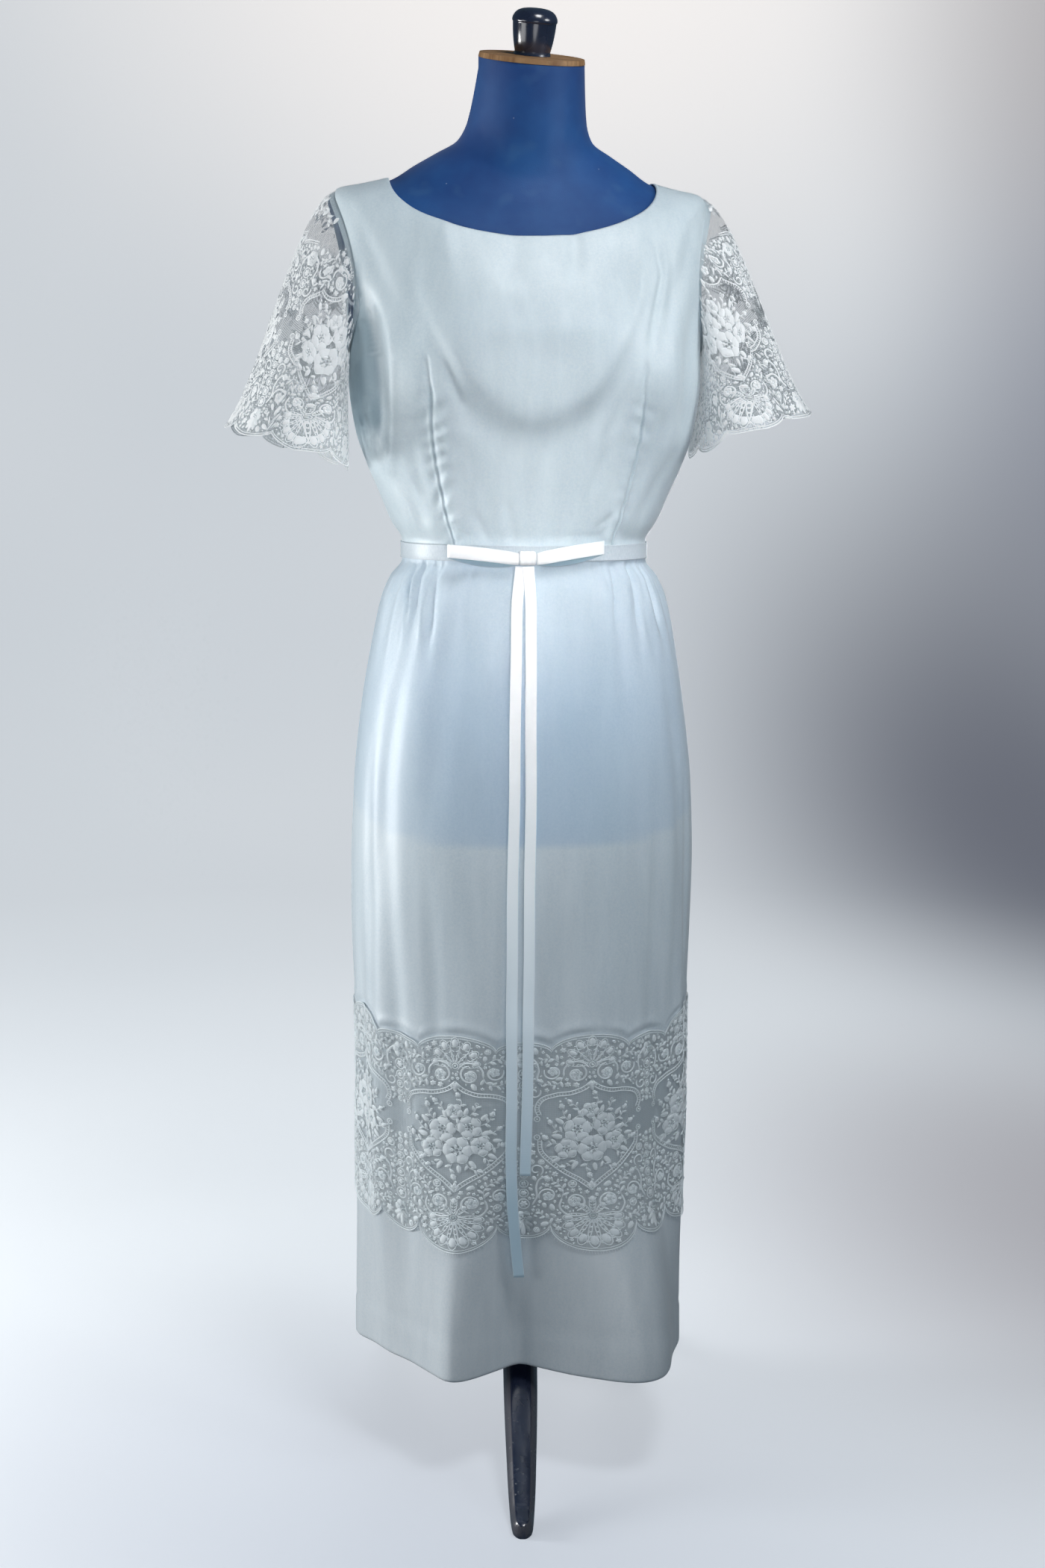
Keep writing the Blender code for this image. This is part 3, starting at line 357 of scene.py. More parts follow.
def placed(points):
    return np.asarray(points) + POLE


def cloth_grid(name, points, uv, paint, node=None, thickness=0.0, closed=False, tints=None):
    rows, columns = points.shape[:2]
    mesh = make_mesh(name, placed(points), grid_faces(rows, columns, closed), uv, tints)
    return add_piece(name, mesh, paint, node, thickness)


# Materials
class Nodes:
    """A short way to write a material's nodes."""

    def __init__(self, name, **settings):
        self.material = bpy.data.materials.new(name)
        self.material.use_nodes = True
        self.tree = self.material.node_tree
        self.shader = self.tree.nodes["Principled BSDF"]
        for key, value in settings.items():
            self.shader.inputs[key.replace("_", " ")].default_value = value

    def add(self, kind, inputs=(), **settings):
        node = self.tree.nodes.new("ShaderNode" + kind)
        for key, value in settings.items():
            setattr(node, key, value)
        for key, value in dict(inputs).items():
            self.feed(node.inputs[key], value)
        return node

    def feed(self, socket, value):
        if isinstance(value, bpy.types.NodeSocket):
            self.tree.links.new(value, socket)
        else:
            socket.default_value = value

    def place(self, kind="Object", scale=(1.0, 1.0, 1.0)):
        coordinates = self.add("TexCoord").outputs[kind]
        return self.add("Mapping", {"Vector": coordinates, "Scale": scale}).outputs[0]

    def layout(self):
        """The place on the flat cloth, in metres."""
        return self.add("UVMap", uv_map="cloth").outputs[0]

    def math(self, operation, a, b=0.0, c=0.0):
        return self.add("Math", {0: a, 1: b, 2: c}, operation=operation).outputs[0]

    def times(self, a, b):
        return self.math("MULTIPLY", a, b)

    def weighed(self, a, share_a, b, share_b):
        """Two values added, each times its share."""
        return self.math("ADD", self.times(a, share_a), self.times(b, share_b))

    def noise(self, where, scale, detail=2.0, rough=0.5):
        settings = {"Vector": where, "Scale": scale, "Detail": detail, "Roughness": rough}
        return self.add("TexNoise", settings).outputs[0]

    def cells(self, size, uneven):
        """The distance to the nearest side of a cell, for cells of that size on the flat cloth."""
        where = self.add("Mapping", {"Vector": self.layout(), "Scale": (1 / size,) * 3}).outputs[0]
        return self.add("TexVoronoi", {"Vector": where, "Scale": 1.0, "Randomness": uneven},
                        feature="DISTANCE_TO_EDGE", voronoi_dimensions="2D").outputs["Distance"]

    def ramp(self, value, low, high, to_low=0.0, to_high=1.0):
        settings = {"Value": value, "From Min": low, "From Max": high, "To Min": to_low, "To Max": to_high}
        return self.add("MapRange", settings, clamp=True).outputs[0]

    def by_height(self, low, high):
        """0 at the first height above the floor and 1 at the second."""
        return self.ramp(self.add("SeparateXYZ", {0: self.place()}).outputs[2], low, high)

    def mix(self, share, a, b, blend="MIX"):
        node = self.add("Mix", data_type="RGBA", blend_type=blend)
        for key, kind, value in (("Factor", "VALUE", share), ("A", "RGBA", a), ("B", "RGBA", b)):
            socket = next(s for s in node.inputs if s.name == key and s.type == kind)
            self.feed(socket, (*value, 1.0) if isinstance(value, tuple) else value)
        return next(s for s in node.outputs if s.type == "RGBA")

    def attribute(self, name):
        return self.add("Attribute", attribute_name=name).outputs["Fac"]

    def wire(self, key, value):
        self.tree.links.new(value, self.shader.inputs[key])

    # Painted light: the surface glows with the colour given, though it is no lamp.
    def glow(self, colour, strength):
        self.wire("Emission Color", colour)
        self.shader.inputs["Emission Strength"].default_value = strength

    def bump(self, height, strength, distance):
        node = self.add("Bump", {"Height": height, "Strength": strength, "Distance": distance})
        self.wire("Normal", node.outputs[0])


def scaled(colour, factor):
    """A colour with its channels multiplied by one factor or by three, and none above 1."""
    factors = factor if isinstance(factor, tuple) else (factor,) * 3
    return tuple(min(1.0, c * f) for c, f in zip(colour, factors))


SATIN_THREAD, RIBBON_RIB, NET_CELL, EYELET = 0.00045, 0.0007, 0.0012, 0.0040


def woven(nodes, thread):
    """Warp and weft on the cloth's own layout: threads of that width in metres, crossing over and under."""
    split = nodes.add("SeparateXYZ", {0: nodes.layout()})
    warp, weft = (nodes.math("SINE", nodes.times(split.outputs[k], math.pi / thread)) for k in (0, 1))
    return nodes.math("MULTIPLY_ADD", nodes.times(warp, weft), 0.25, 0.5)


def satin(name, colour, form_shows=False):
    """Crepe-backed satin: a matt sheen, a fine weave, faint slubs and slight unevenness of colour."""
    nodes = Nodes(name, Roughness=0.42, Sheen_Weight=0.22, Sheen_Roughness=0.45, Specular_IOR_Level=0.62)
    nodes.shader.inputs["Sheen Tint"].default_value = (1.0, 0.99, 0.97, 1.0)
    where = nodes.place()
    uneven = nodes.noise(where, 7.0, 3.0)
    slub = nodes.noise(nodes.place("UV", (260.0, 2100.0, 1.0)), 1.0, 2.0)
    down = nodes.noise(nodes.place("UV", (3000.0, 420.0, 1.0)), 1.0, 2.0)
    mottle = nodes.noise(where, 420.0, 2.0, 0.7)
    streaks = nodes.noise(nodes.place("Object", (55.0, 55.0, 9.0)), 1.0, 3.0, 0.6)
    grain = nodes.weighed(slub, 0.5, down, 0.5)
    base = nodes.mix(nodes.ramp(uneven, 0.35, 0.65), scaled(colour, 0.93), colour)
    base = nodes.mix(nodes.ramp(mottle, 0.30, 0.70, 0.0, 0.85), base, scaled(colour, (0.80, 0.86, 0.90)))
    base = nodes.mix(nodes.ramp(streaks, 0.40, 0.75, 0.0, 0.55), base, scaled(colour, 1.08))
    base = nodes.mix(nodes.ramp(grain, 0.35, 0.65, 0.0, 0.35), base, scaled(colour, 1.06))
    if form_shows:
        # Painted shade: the skirt is painted a little darker and less blue towards the bottom.
        low = nodes.times(nodes.by_height(0.62, 0.22), 0.9)
        base = nodes.mix(low, base, (0.985, 0.94, 0.92), "MULTIPLY")
        base = nodes.mix(nodes.times(nodes.attribute("form_shows"), 0.40), base, (0.20, 0.42, 0.68))
    base = nodes.mix(nodes.times(nodes.attribute("shade"), 0.85), base, (0.44, 0.55, 0.60), "MULTIPLY")
    nodes.wire("Base Color", base)
    nodes.wire("Roughness", nodes.ramp(grain, 0.3, 0.7, 0.50, 0.34))
    nodes.bump(nodes.weighed(woven(nodes, SATIN_THREAD), 0.4, grain, 0.8), 0.28, 0.00035)
    return nodes.material


def ribbon(name, dark, pale, glow=0.0):
    """Satin ribbon with a fine rib, darker along its woven edges. Inside a loop and low down it is painted
    darker as painted shade, and glow gives it painted light.
    """
    nodes = Nodes(name, Roughness=0.34, Sheen_Weight=0.15, Specular_IOR_Level=0.45)
    split = nodes.add("SeparateXYZ", {0: nodes.layout()})
    along = nodes.math("SINE", nodes.times(split.outputs[0], math.pi / RIBBON_RIB))
    rib = nodes.math("MULTIPLY_ADD", along, 0.5, 0.5)
    grain = nodes.noise(nodes.place("UV", (900.0, 260.0, 1.0)), 1.0, 2.0)
    edge = nodes.attribute("edge")
    face = nodes.mix(nodes.ramp(grain, 0.35, 0.65), dark, pale)
    # Painted shade: lower down the ribbon is painted bluer and then much darker.
    face = nodes.mix(nodes.by_height(0.82, 0.60), face, (0.86, 0.94, 0.99))
    face = nodes.mix(nodes.by_height(0.62, 0.30), face, (0.40, 0.54, 0.64))
    # Painted shade: inside a loop, the inner face of its back layer is painted darker.
    face = nodes.mix(nodes.attribute("inside"), face, (0.32, 0.45, 0.54))
    # Painted light: with glow set, the ribbon glows a little with its own colour.
    nodes.glow(face, glow)
    nodes.wire("Base Color", nodes.mix(nodes.times(edge, 0.5), face, scaled(dark, 0.78)))
    nodes.wire("Roughness", nodes.ramp(grain, 0.3, 0.7, 0.42, 0.30))
    nodes.bump(nodes.weighed(rib, 0.35, edge, 0.8), 0.3, 0.0003)
    return nodes.material


def net(name, colour, cloth_work, fill_low, fill_high):
    """Fine hexagonal net with open holes. Where the attribute dense is 1 it is worked into close, paler cloth
    with small eyelets left in it."""
    nodes = Nodes(name, Roughness=0.8, Sheen_Weight=0.2)
    mesh, eyelet = nodes.cells(NET_CELL, 0.12), nodes.cells(EYELET, 0.85)
    dense = nodes.times(nodes.attribute("dense"), nodes.ramp(eyelet, 0.19, 0.14))
    reach = nodes.math("MULTIPLY_ADD", dense, fill_high - fill_low, fill_low)
    soft = nodes.noise(nodes.place(), 60.0, 2.0)
    base = nodes.mix(nodes.ramp(soft, 0.3, 0.7), scaled(colour, 0.86), colour)
    nodes.wire("Base Color", nodes.mix(dense, base, cloth_work))
    nodes.wire("Alpha", nodes.math("LESS_THAN", mesh, reach))
    nodes.bump(nodes.math("ADD", mesh, eyelet), 0.25, 0.0005)
    return nodes.material


def lace_thread(name, colour, glow=0.0):
    """The lace's cloth-work and cords: close threads, matt, a little uneven in whiteness."""
    nodes = Nodes(name, Roughness=0.72, Sheen_Weight=0.7, Sheen_Roughness=0.5)
    uneven = nodes.noise(nodes.place(), 38.0, 2.0)
    threads = nodes.noise(nodes.place("Object", (1600.0, 1600.0, 3600.0)), 1.0, 1.0)
    base = nodes.mix(nodes.ramp(uneven, 0.35, 0.65), scaled(colour, 0.93), colour)
    base = nodes.mix(nodes.ramp(threads, 0.3, 0.7, 0.0, 0.3), base, scaled(colour, 0.86))
    nodes.wire("Base Color", base)
    # Painted light: with glow set, the threads glow a little with their own colour.
    nodes.glow(base, glow)
    nodes.bump(threads, 0.5, 0.0004)
    return nodes.material


def form_cloth(name):
    """Blue jersey drawn tight over the form: fine ribs, rubbed a little paler, with specks of lint."""
    nodes = Nodes(name, Roughness=0.62, Sheen_Weight=0.12, Specular_IOR_Level=0.4)
    where = nodes.place()
    rubbed = nodes.noise(where, 9.0, 4.0, 0.6)
    patches = nodes.noise(where, 26.0, 2.0)
    pores = nodes.noise(where, 900.0, 1.0)
    ribs = nodes.add("TexWave", {"Vector": where, "Scale": 420.0, "Distortion": 1.2, "Detail": 1.0},
                     bands_direction="Z").outputs[1]
    lint = nodes.add("TexVoronoi", {"Vector": where, "Scale": 34.0}).outputs["Distance"]
    base = nodes.mix(nodes.ramp(rubbed, 0.38, 0.68), (0.002, 0.050, 0.215), (0.008, 0.092, 0.310))
    base = nodes.mix(nodes.ramp(patches, 0.62, 0.72, 0.0, 0.30), base, (0.045, 0.140, 0.330))
    base = nodes.mix(nodes.ramp(lint, 0.030, 0.022, 0.0, 0.45), base, (0.35, 0.45, 0.60))
    nodes.wire("Base Color", base)
    nodes.wire("Roughness", nodes.ramp(rubbed, 0.3, 0.7, 0.66, 0.50))
    nodes.bump(nodes.weighed(ribs, 0.4, pores, 0.7), 0.35, 0.0004)
    return nodes.material


def wood(name):
    """Bare turned wood with a fine dark grain."""
    nodes = Nodes(name, Roughness=0.5, Specular_IOR_Level=0.4)
    warped = nodes.noise(nodes.place("Object", (1.0, 12.0, 1.0)), 14.0, 3.0, 0.6)
    grain = nodes.noise(nodes.place("Object", (30.0, 420.0, 60.0)), 1.0, 3.0, 0.6)
    base = nodes.mix(nodes.ramp(warped, 0.35, 0.65), (0.26, 0.135, 0.055), (0.46, 0.27, 0.13))
    base = nodes.mix(nodes.ramp(grain, 0.45, 0.7, 0.0, 0.55), base, (0.16, 0.075, 0.03))
    nodes.wire("Base Color", base)
    nodes.wire("Roughness", nodes.ramp(grain, 0.3, 0.7, 0.42, 0.62))
    nodes.bump(grain, 0.3, 0.0005)
    return nodes.material


def lacquer(name, worn):
    """Near-black gloss with a navy cast. Where worn is set, it is chipped low down and its bevels are painted
    paler, a painted reflection.
    """
    nodes = Nodes(name, Roughness=0.2, Specular_IOR_Level=0.6, Coat_Weight=0.6, Coat_Roughness=0.12)
    where = nodes.place()
    cloudy = nodes.noise(where, 22.0, 4.0, 0.6)
    base = nodes.mix(nodes.ramp(cloudy, 0.3, 0.7), (0.011, 0.016, 0.036), (0.022, 0.032, 0.066))
    if worn:
        spots = nodes.ramp(nodes.noise(where, 190.0, 3.0, 0.7), 0.66, 0.70)
        low = nodes.math("MULTIPLY_ADD", nodes.by_height(0.085, 0.0), 0.8, 0.12)
        # Painted reflection: the side bevels are painted paler, for the light they catch.
        base = nodes.mix(nodes.times(nodes.attribute("bevel"), 0.75), base, (0.115, 0.112, 0.125))
        base = nodes.mix(nodes.times(spots, low), base, (0.30, 0.31, 0.33))
    nodes.wire("Base Color", base)
    nodes.wire("Roughness", nodes.ramp(cloudy, 0.3, 0.7, 0.16, 0.34))
    nodes.bump(nodes.noise(where, 130.0, 2.0), 0.06, 0.0004)
    return nodes.material


# The satin panels
def ripple(points, seed, waves, shortest, longest):
    """Smooth unevenness from a few seeded waves, mostly between -1 and 1."""
    random = np.random.default_rng(seed)
    total = np.zeros(points.shape[:-1])
    for _ in range(waves):
        direction = unit(random.normal(size=3))
        length = random.uniform(shortest, longest)
        total += np.cos(points @ direction * (2 * math.pi / length) + random.uniform(0, 2 * math.pi))
    return total / math.sqrt(waves)


def spaced(count, low, high, closer=(), keep=()):
    """Numbers from low to high, closer together near some (place, reach, gain). Those in keep are hit."""
    fine = np.linspace(low, high, 6001)
    density = 1 + sum(gain * bell(fine - place, reach) for place, reach, gain in closer)
    total = np.concatenate([[0.0], np.cumsum((density[1:] + density[:-1]) / 2)])
    found = np.interp(np.linspace(0, total[-1], count), total, fine)
    for place in keep:
        found[np.argmin(np.abs(found - place))] = place
    return found


def neckline(angle):
    turn = np.radians(angle)
    low = np.where(np.cos(turn) > 0, NECK_FRONT, NECK_BACK)
    return low + (NECK_SHOULDER - low) * np.abs(np.sin(turn)) ** 3


def side_angle(station, opening):
    """Where a bodice panel ends: at the side seam, or further in round the armhole."""
    share = (station - ARMHOLE_MIDDLE) / ARMHOLE_HALF
    return 90.0 - opening * np.sqrt(np.maximum(0.0, 1 - share * share))


def stroke(points, path, width, depth, front=True):
    """A soft crease along a path of (x, height) seen from the front or back, fading at its ends."""
    x, z = points[..., 0], points[..., 2] - WAIST
    ends = np.array(path, float)
    best = np.full(x.shape, 9.0)
    along = np.zeros(x.shape)
    lengths = np.hypot(*np.diff(ends, axis=0).T)
    before = np.concatenate([[0.0], np.cumsum(lengths)])
    for i, (a, b) in enumerate(zip(ends, ends[1:])):
        run = b - a
        t = np.clip(((x - a[0]) * run[0] + (z - a[1]) * run[1]) / (run @ run), 0.0, 1.0)
        off = np.hypot(x - a[0] - t * run[0], z - a[1] - t * run[1])
        nearer = off < best
        best = np.where(nearer, off, best)
        along = np.where(nearer, before[i] + t * lengths[i], along)
    share = along / before[-1]
    fade = step(share / 0.25) * step((1 - share) / 0.25)
    here = points[..., 1] < 0.02 if front else points[..., 1] > -0.02
    return depth * bell(best, width) * fade * here


def dart_angle(station):
    return DART_AT_WAIST - DART_LEAN * np.minimum(station, DART_TOP)


# Soft creases of the bodice as (path of x and height above the waist, width, depth)
FRONT_CREASES = [
    ([(-0.170, 0.268), (-0.160, 0.205), (-0.156, 0.150), (-0.156, 0.085)], 0.0095, -0.0085),
    ([(-0.147, 0.240), (-0.144, 0.185), (-0.143, 0.120), (-0.142, 0.070)], 0.0042, 0.0024),
    ([(0.168, 0.262), (0.158, 0.205), (0.154, 0.150), (0.154, 0.100)], 0.0080, -0.0030),
    ([(0.144, 0.250), (0.138, 0.185), (0.136, 0.120), (0.132, 0.060)], 0.0075, 0.0010),
    ([(-0.122, 0.350), (-0.124, 0.300), (-0.124, 0.245), (-0.118, 0.196)], 0.0110, -0.0024),
    ([(-0.094, 0.345), (-0.090, 0.290), (-0.086, 0.240)], 0.0100, 0.0014),
    ([(0.118, 0.322), (0.127, 0.276), (0.118, 0.238), (0.108, 0.192)], 0.0045, -0.0026),
    ([(0.132, 0.330), (0.138, 0.280), (0.132, 0.225)], 0.0055, -0.0014),
    ([(0.100, 0.330), (0.104, 0.280), (0.098, 0.230)], 0.0080, 0.0016),
    ([(0.034, 0.345), (0.038, 0.300), (0.034, 0.258)], 0.0095, -0.0019),
    ([(-0.026, 0.350), (-0.022, 0.300), (-0.028, 0.250)], 0.0150, -0.0013),
    ([(-0.094, 0.196), (-0.084, 0.166), (-0.070, 0.136)], 0.0050, -0.0015),
    ([(-0.100, 0.150), (-0.086, 0.112), (-0.072, 0.070)], 0.0050, -0.0011),
    ([(0.096, 0.176), (0.080, 0.138), (0.062, 0.104)], 0.0060, -0.0015),
    ([(0.078, 0.120), (0.060, 0.078), (0.048, 0.040)], 0.0055, -0.0012),
    ([(-0.112, 0.198), (-0.109, 0.165), (-0.103, 0.138)], 0.0026, -0.0026),
    ([(0.110, 0.192), (0.103, 0.160), (0.096, 0.132)], 0.0026, -0.0026),
    ([(-0.150, 0.090), (-0.126, 0.058), (-0.104, 0.018)], 0.0065, -0.0029),
    ([(-0.128, 0.120), (-0.118, 0.080), (-0.106, 0.045)], 0.0060, -0.0013),
    ([(0.150, 0.110), (0.124, 0.064), (0.100, 0.016)], 0.0065, -0.0020),
    ([(0.132, 0.150), (0.116, 0.100), (0.102, 0.052)], 0.0055, -0.0014),
    ([(0.086, 0.046), (0.074, 0.032), (0.058, 0.024)], 0.0030, -0.0025),
    ([(0.078, 0.026), (0.064, 0.016), (0.046, 0.014)], 0.0026, -0.0021),
    ([(-0.088, 0.030), (-0.074, 0.022), (-0.058, 0.016)], 0.0028, -0.0024),
    ([(-0.064, 0.044), (-0.052, 0.024), (-0.046, 0.008)], 0.0034, -0.0016),
    ([(-0.034, 0.060), (-0.026, 0.030), (-0.022, 0.006)], 0.0055, -0.0016),
    ([(0.026, 0.056), (0.020, 0.026), (0.018, 0.006)], 0.0050, -0.0015),
    ([(-0.060, 0.338), (-0.020, 0.326), (0.030, 0.328), (0.070, 0.342)], 0.0100, -0.0010),
]
BACK_CREASES = [
    ([(-0.110, 0.290), (-0.080, 0.220), (-0.050, 0.150)], 0.0090, -0.0019),
    ([(0.108, 0.280), (0.078, 0.215), (0.052, 0.140)], 0.0090, -0.0018),
    ([(-0.160, 0.250), (-0.148, 0.190), (-0.140, 0.120)], 0.0080, -0.0024),
    ([(0.162, 0.256), (0.150, 0.190), (0.143, 0.115)], 0.0080, -0.0022),
    ([(-0.120, 0.090), (-0.086, 0.046), (-0.062, 0.012)], 0.0060, -0.0019),
    ([(0.124, 0.084), (0.090, 0.046), (0.066, 0.010)], 0.0058, -0.0018),
    ([(-0.090, 0.120), (-0.066, 0.076), (-0.048, 0.034)], 0.0070, -0.0012),
    ([(0.094, 0.126), (0.070, 0.080), (0.050, 0.030)], 0.0070, -0.0012),
    ([(-0.030, 0.070), (-0.024, 0.030), (-0.020, 0.006)], 0.0060, -0.0011),
    ([(0.034, 0.064), (0.028, 0.030), (0.024, 0.006)], 0.0056, -0.0011),
]


def bust_shelf(points):
    """Below the bust the cloth drops away along one U-shaped line from side to side."""
    x, z = points[..., 0] + 0.004, points[..., 2]
    line = 1.092 + 0.078 * (np.abs(x) / 0.090) ** 2.2
    above = 0.5 * (1 + np.tanh((z - line) / 0.012))
    near = step((0.132 - np.abs(x)) / 0.068)
    return near * (0.0068 * above * step((1.310 - z) / 0.15) - 0.0016 * bell(z - line + 0.022, 0.020))


def deep_fold(points):
    """How shaded the fold below the armhole at -X is. Its inner side is sharp and the other is soft."""
    x, height = points[..., 0], points[..., 2] - WAIST
    inner_side = curve([0.122, 0.167, 0.266], [-0.148, -0.150, -0.168])(np.clip(height, 0.122, 0.266))
    ends = step((height - 0.108) / 0.022) * step((0.315 - height) / 0.085)
    return step((inner_side - x) / 0.007) * ends * (points[..., 1] < 0.03)


def bodice_stations():
    closer = [(0.0, 0.01, 2.0), (NECK_SHOULDER, 0.012, 2.0)]
    return spaced(104, 0.0002, NECK_SHOULDER, closer, [ARMPIT, SHOULDER_TIP])[:, None]


def front_bodice():
    half = spaced(96, 0.0, 1.0, [(DART_SHARE, 0.012, 9.0), (1.0, 0.02, 2.0)], [DART_SHARE])
    shares = np.concatenate([-half[:0:-1], half])[None, :]
    stations = bodice_stations()
    share, sign = np.abs(shares), np.sign(shares)
    station = stations * neckline(90.0 * share) / NECK_SHOULDER
    dart = dart_angle(station)
    edge = side_angle(stations, ARMHOLE_FRONT)
    inner = dart * share / DART_SHARE
    outer = dart + (edge - dart) * (share - DART_SHARE) / (1 - DART_SHARE)
    angle = sign * np.where(share <= DART_SHARE, inner, outer)
    points = gown_point(angle, station)
    lift = bust_shelf(points) + 0.0006 * ripple(points, 11, 9, 0.06, 0.16)
    for path, width, depth in FRONT_CREASES:
        lift = lift + stroke(points, path, width, depth)
    across = (share - DART_SHARE) * 0.21
    up = step((DART_TOP - station) / 0.05)
    pull = np.cos((station + 0.5 * across) * 2 * math.pi / 0.0165 + 1.6 * np.sin(station * 70.0 + sign))
    pucker = (0.5 + 0.5 * pull) ** 2 * bell(across + 0.0060, 0.0052)
    pucker = pucker + 0.35 * pull * bell(across - 0.005, 0.004)
    stitched = 0.0009 * bell(across - 0.0016, 0.0012) - 0.0010 * bell(across + 0.0010, 0.0012)
    stitched = stitched * (0.4 + 0.6 * np.clip(station / 0.18, 0, 1))
    stitched = stitched * np.where(sign > 0, 1.5, 1.0)
    lift = lift + up * (stitched - 0.0009 * bell(across, 0.007) + 0.0030 * pucker)
    lift = lift + turned_edge((1 - share) * BODICE_RADIUS)
    lift = lift + turned_edge((NECK_SHOULDER - stations) * 0.9, 0.0008)
    points = gown_point(angle, station, lift)
    uv = np.stack([angle * math.pi / 180 * BODICE_RADIUS, points[..., 2]], -1)
    shade = np.maximum(0.42 * up * bell(across + 0.0002, 0.0012), deep_fold(points))
    return points, uv, shade


def turned_edge(distance, depth=0.0010):
    """A seam allowance turned in: the last millimetres of a panel roll inwards."""
    return -depth * bell(np.maximum(distance, 0.0), 0.0012)


def back_bodice(side):
    shares = spaced(64, 0.0, 1.0, [(0.0, 0.03, 2.0), (1.0, 0.02, 2.0)])[None, :]
    stations = bodice_stations()
    station = stations * neckline(180.0 - 90.0 * shares) / NECK_SHOULDER
    angle = side * (180.0 - side_angle(stations, ARMHOLE_BACK) * shares)
    points = gown_point(angle, station)
    lift = 0.0006 * ripple(points, 12, 9, 0.06, 0.16)
    for path, width, depth in BACK_CREASES:
        lift = lift + stroke(points, path, width, depth, front=False)
    lift = lift + turned_edge((1 - shares) * BODICE_RADIUS)
    lift = lift + turned_edge((NECK_SHOULDER - stations) * 0.9, 0.0008)
    lift = lift + back_opening(shares * 0.15, side)
    points = gown_point(angle, station, lift)
    uv = np.stack([angle * math.pi / 180 * BODICE_RADIUS, points[..., 2]], -1)
    if side > 0:
        points, uv = points[:, ::-1], uv[:, ::-1]
    return points, uv


def back_opening(distance, side):
    """The lapped opening at the centre back: the +X half lies over the other for 12 mm, stitched down."""
    if side > 0:
        return 0.0004 - 0.0004 * step(distance / 0.02) - 0.0005 * bell(distance - 0.012, 0.0009)
    return -0.0006 * bell(distance, 0.002)


def small_gathers():
    """Narrow folds of uneven length that the belt draws up between the big ones."""
    random = np.random.default_rng(5)
    folds = []
    for centre in np.arange(26.0, 78.0, 4.3).tolist() + np.arange(106.0, 158.0, 4.6).tolist():
        for side in (-1.0, 1.0):
            folds.append((side * centre + random.uniform(-1.2, 1.2), random.uniform(0.0008, 0.0020),
                          random.uniform(0.9, 1.7), random.uniform(0.03, 0.12), random.uniform(-1.5, 1.5)))
    return folds


SMALL_GATHERS = small_gathers()


def skirt_relief(angles, stations):
    """What the scene adds to the skirt's folds: gathers, drag lines and a soft unevenness."""
    points = gown_point(angles, stations)
    lift = 0.0007 * ripple(points * [1, 1, 0.45], 21, 9, 0.07, 0.20) * step(-stations / 0.05)
    for where, deep, wide, reach, lean in SMALL_GATHERS:
        fade = step((-0.004 - stations) / 0.012) * step((stations + reach) / reach)
        lift = lift - deep * fade * bell(apart(angles, where + lean * stations / 0.1), wide)
    return lift + skirt_creases(angles, stations)


def draped_point(angles, stations, lift=0.0):
    """A point over the skirt as the scene drapes it."""
    return gown_point(angles, stations, skirt_relief(angles, stations) + lift)


def skirt(first, last, columns, closer):
    closer_up = [(HEM, 0.006, 4.0), (-0.488, 0.020, 3.0), (-0.02, 0.03, 2.5)]
    angles, stations = cross(spaced(columns, first, last, closer), spaced(132, HEM, -0.0002, closer_up))
    lift = -0.0006 * bell(stations - HEM - HEM_DEPTH, 0.0012)
    lift = lift + 0.0004 * step((HEM + HEM_DEPTH - stations) / 0.002)
    lift = lift + turned_edge(stations - HEM, 0.0012) + puff_over_lace(angles, stations)
    for seam in (-90.0, 90.0, 180.0):
        lift = lift + turned_edge(np.abs(apart(angles, seam)) * 0.0028, 0.0009)
    points = draped_point(angles, stations, lift)
    uv = np.stack([angles * math.pi / 180 * SKIRT_RADIUS, points[..., 2]], -1)
    return points, uv, form_shows(angles, stations)


def puff_over_lace(angles, stations):
    """Above the lace's top edge, where it is sewn down, the satin puffs up a little and unevenly."""
    x = repeat_x(apart(angles, LOBE_ANGLE))
    above = stations - band_height(angles, high_edge(x))
    turn = np.radians(angles)
    uneven = 0.6 + 0.4 * np.sin(19 * turn + 0.6) * np.sin(7 * turn + 2.2)
    return uneven * (0.0015 * bell(above - 0.0085, 0.0050) - 0.0014 * bell(above - 0.0008, 0.0028))


def skirt_creases(angles, stations):
    """Long drag lines and soft hollows, uneven from side to side and much the same at the back."""
    total = 0.0
    for angle, lean, half, depth, top, bottom in SKIRT_CREASES:
        middle = angle + lean * (stations - top) / (bottom - top)
        length = top - bottom
        fade = step((top - stations) / (0.3 * length)) * step((stations - bottom) / (0.4 * length))
        total = total + depth * fade * bell(apart(angles, middle), half)
    return total


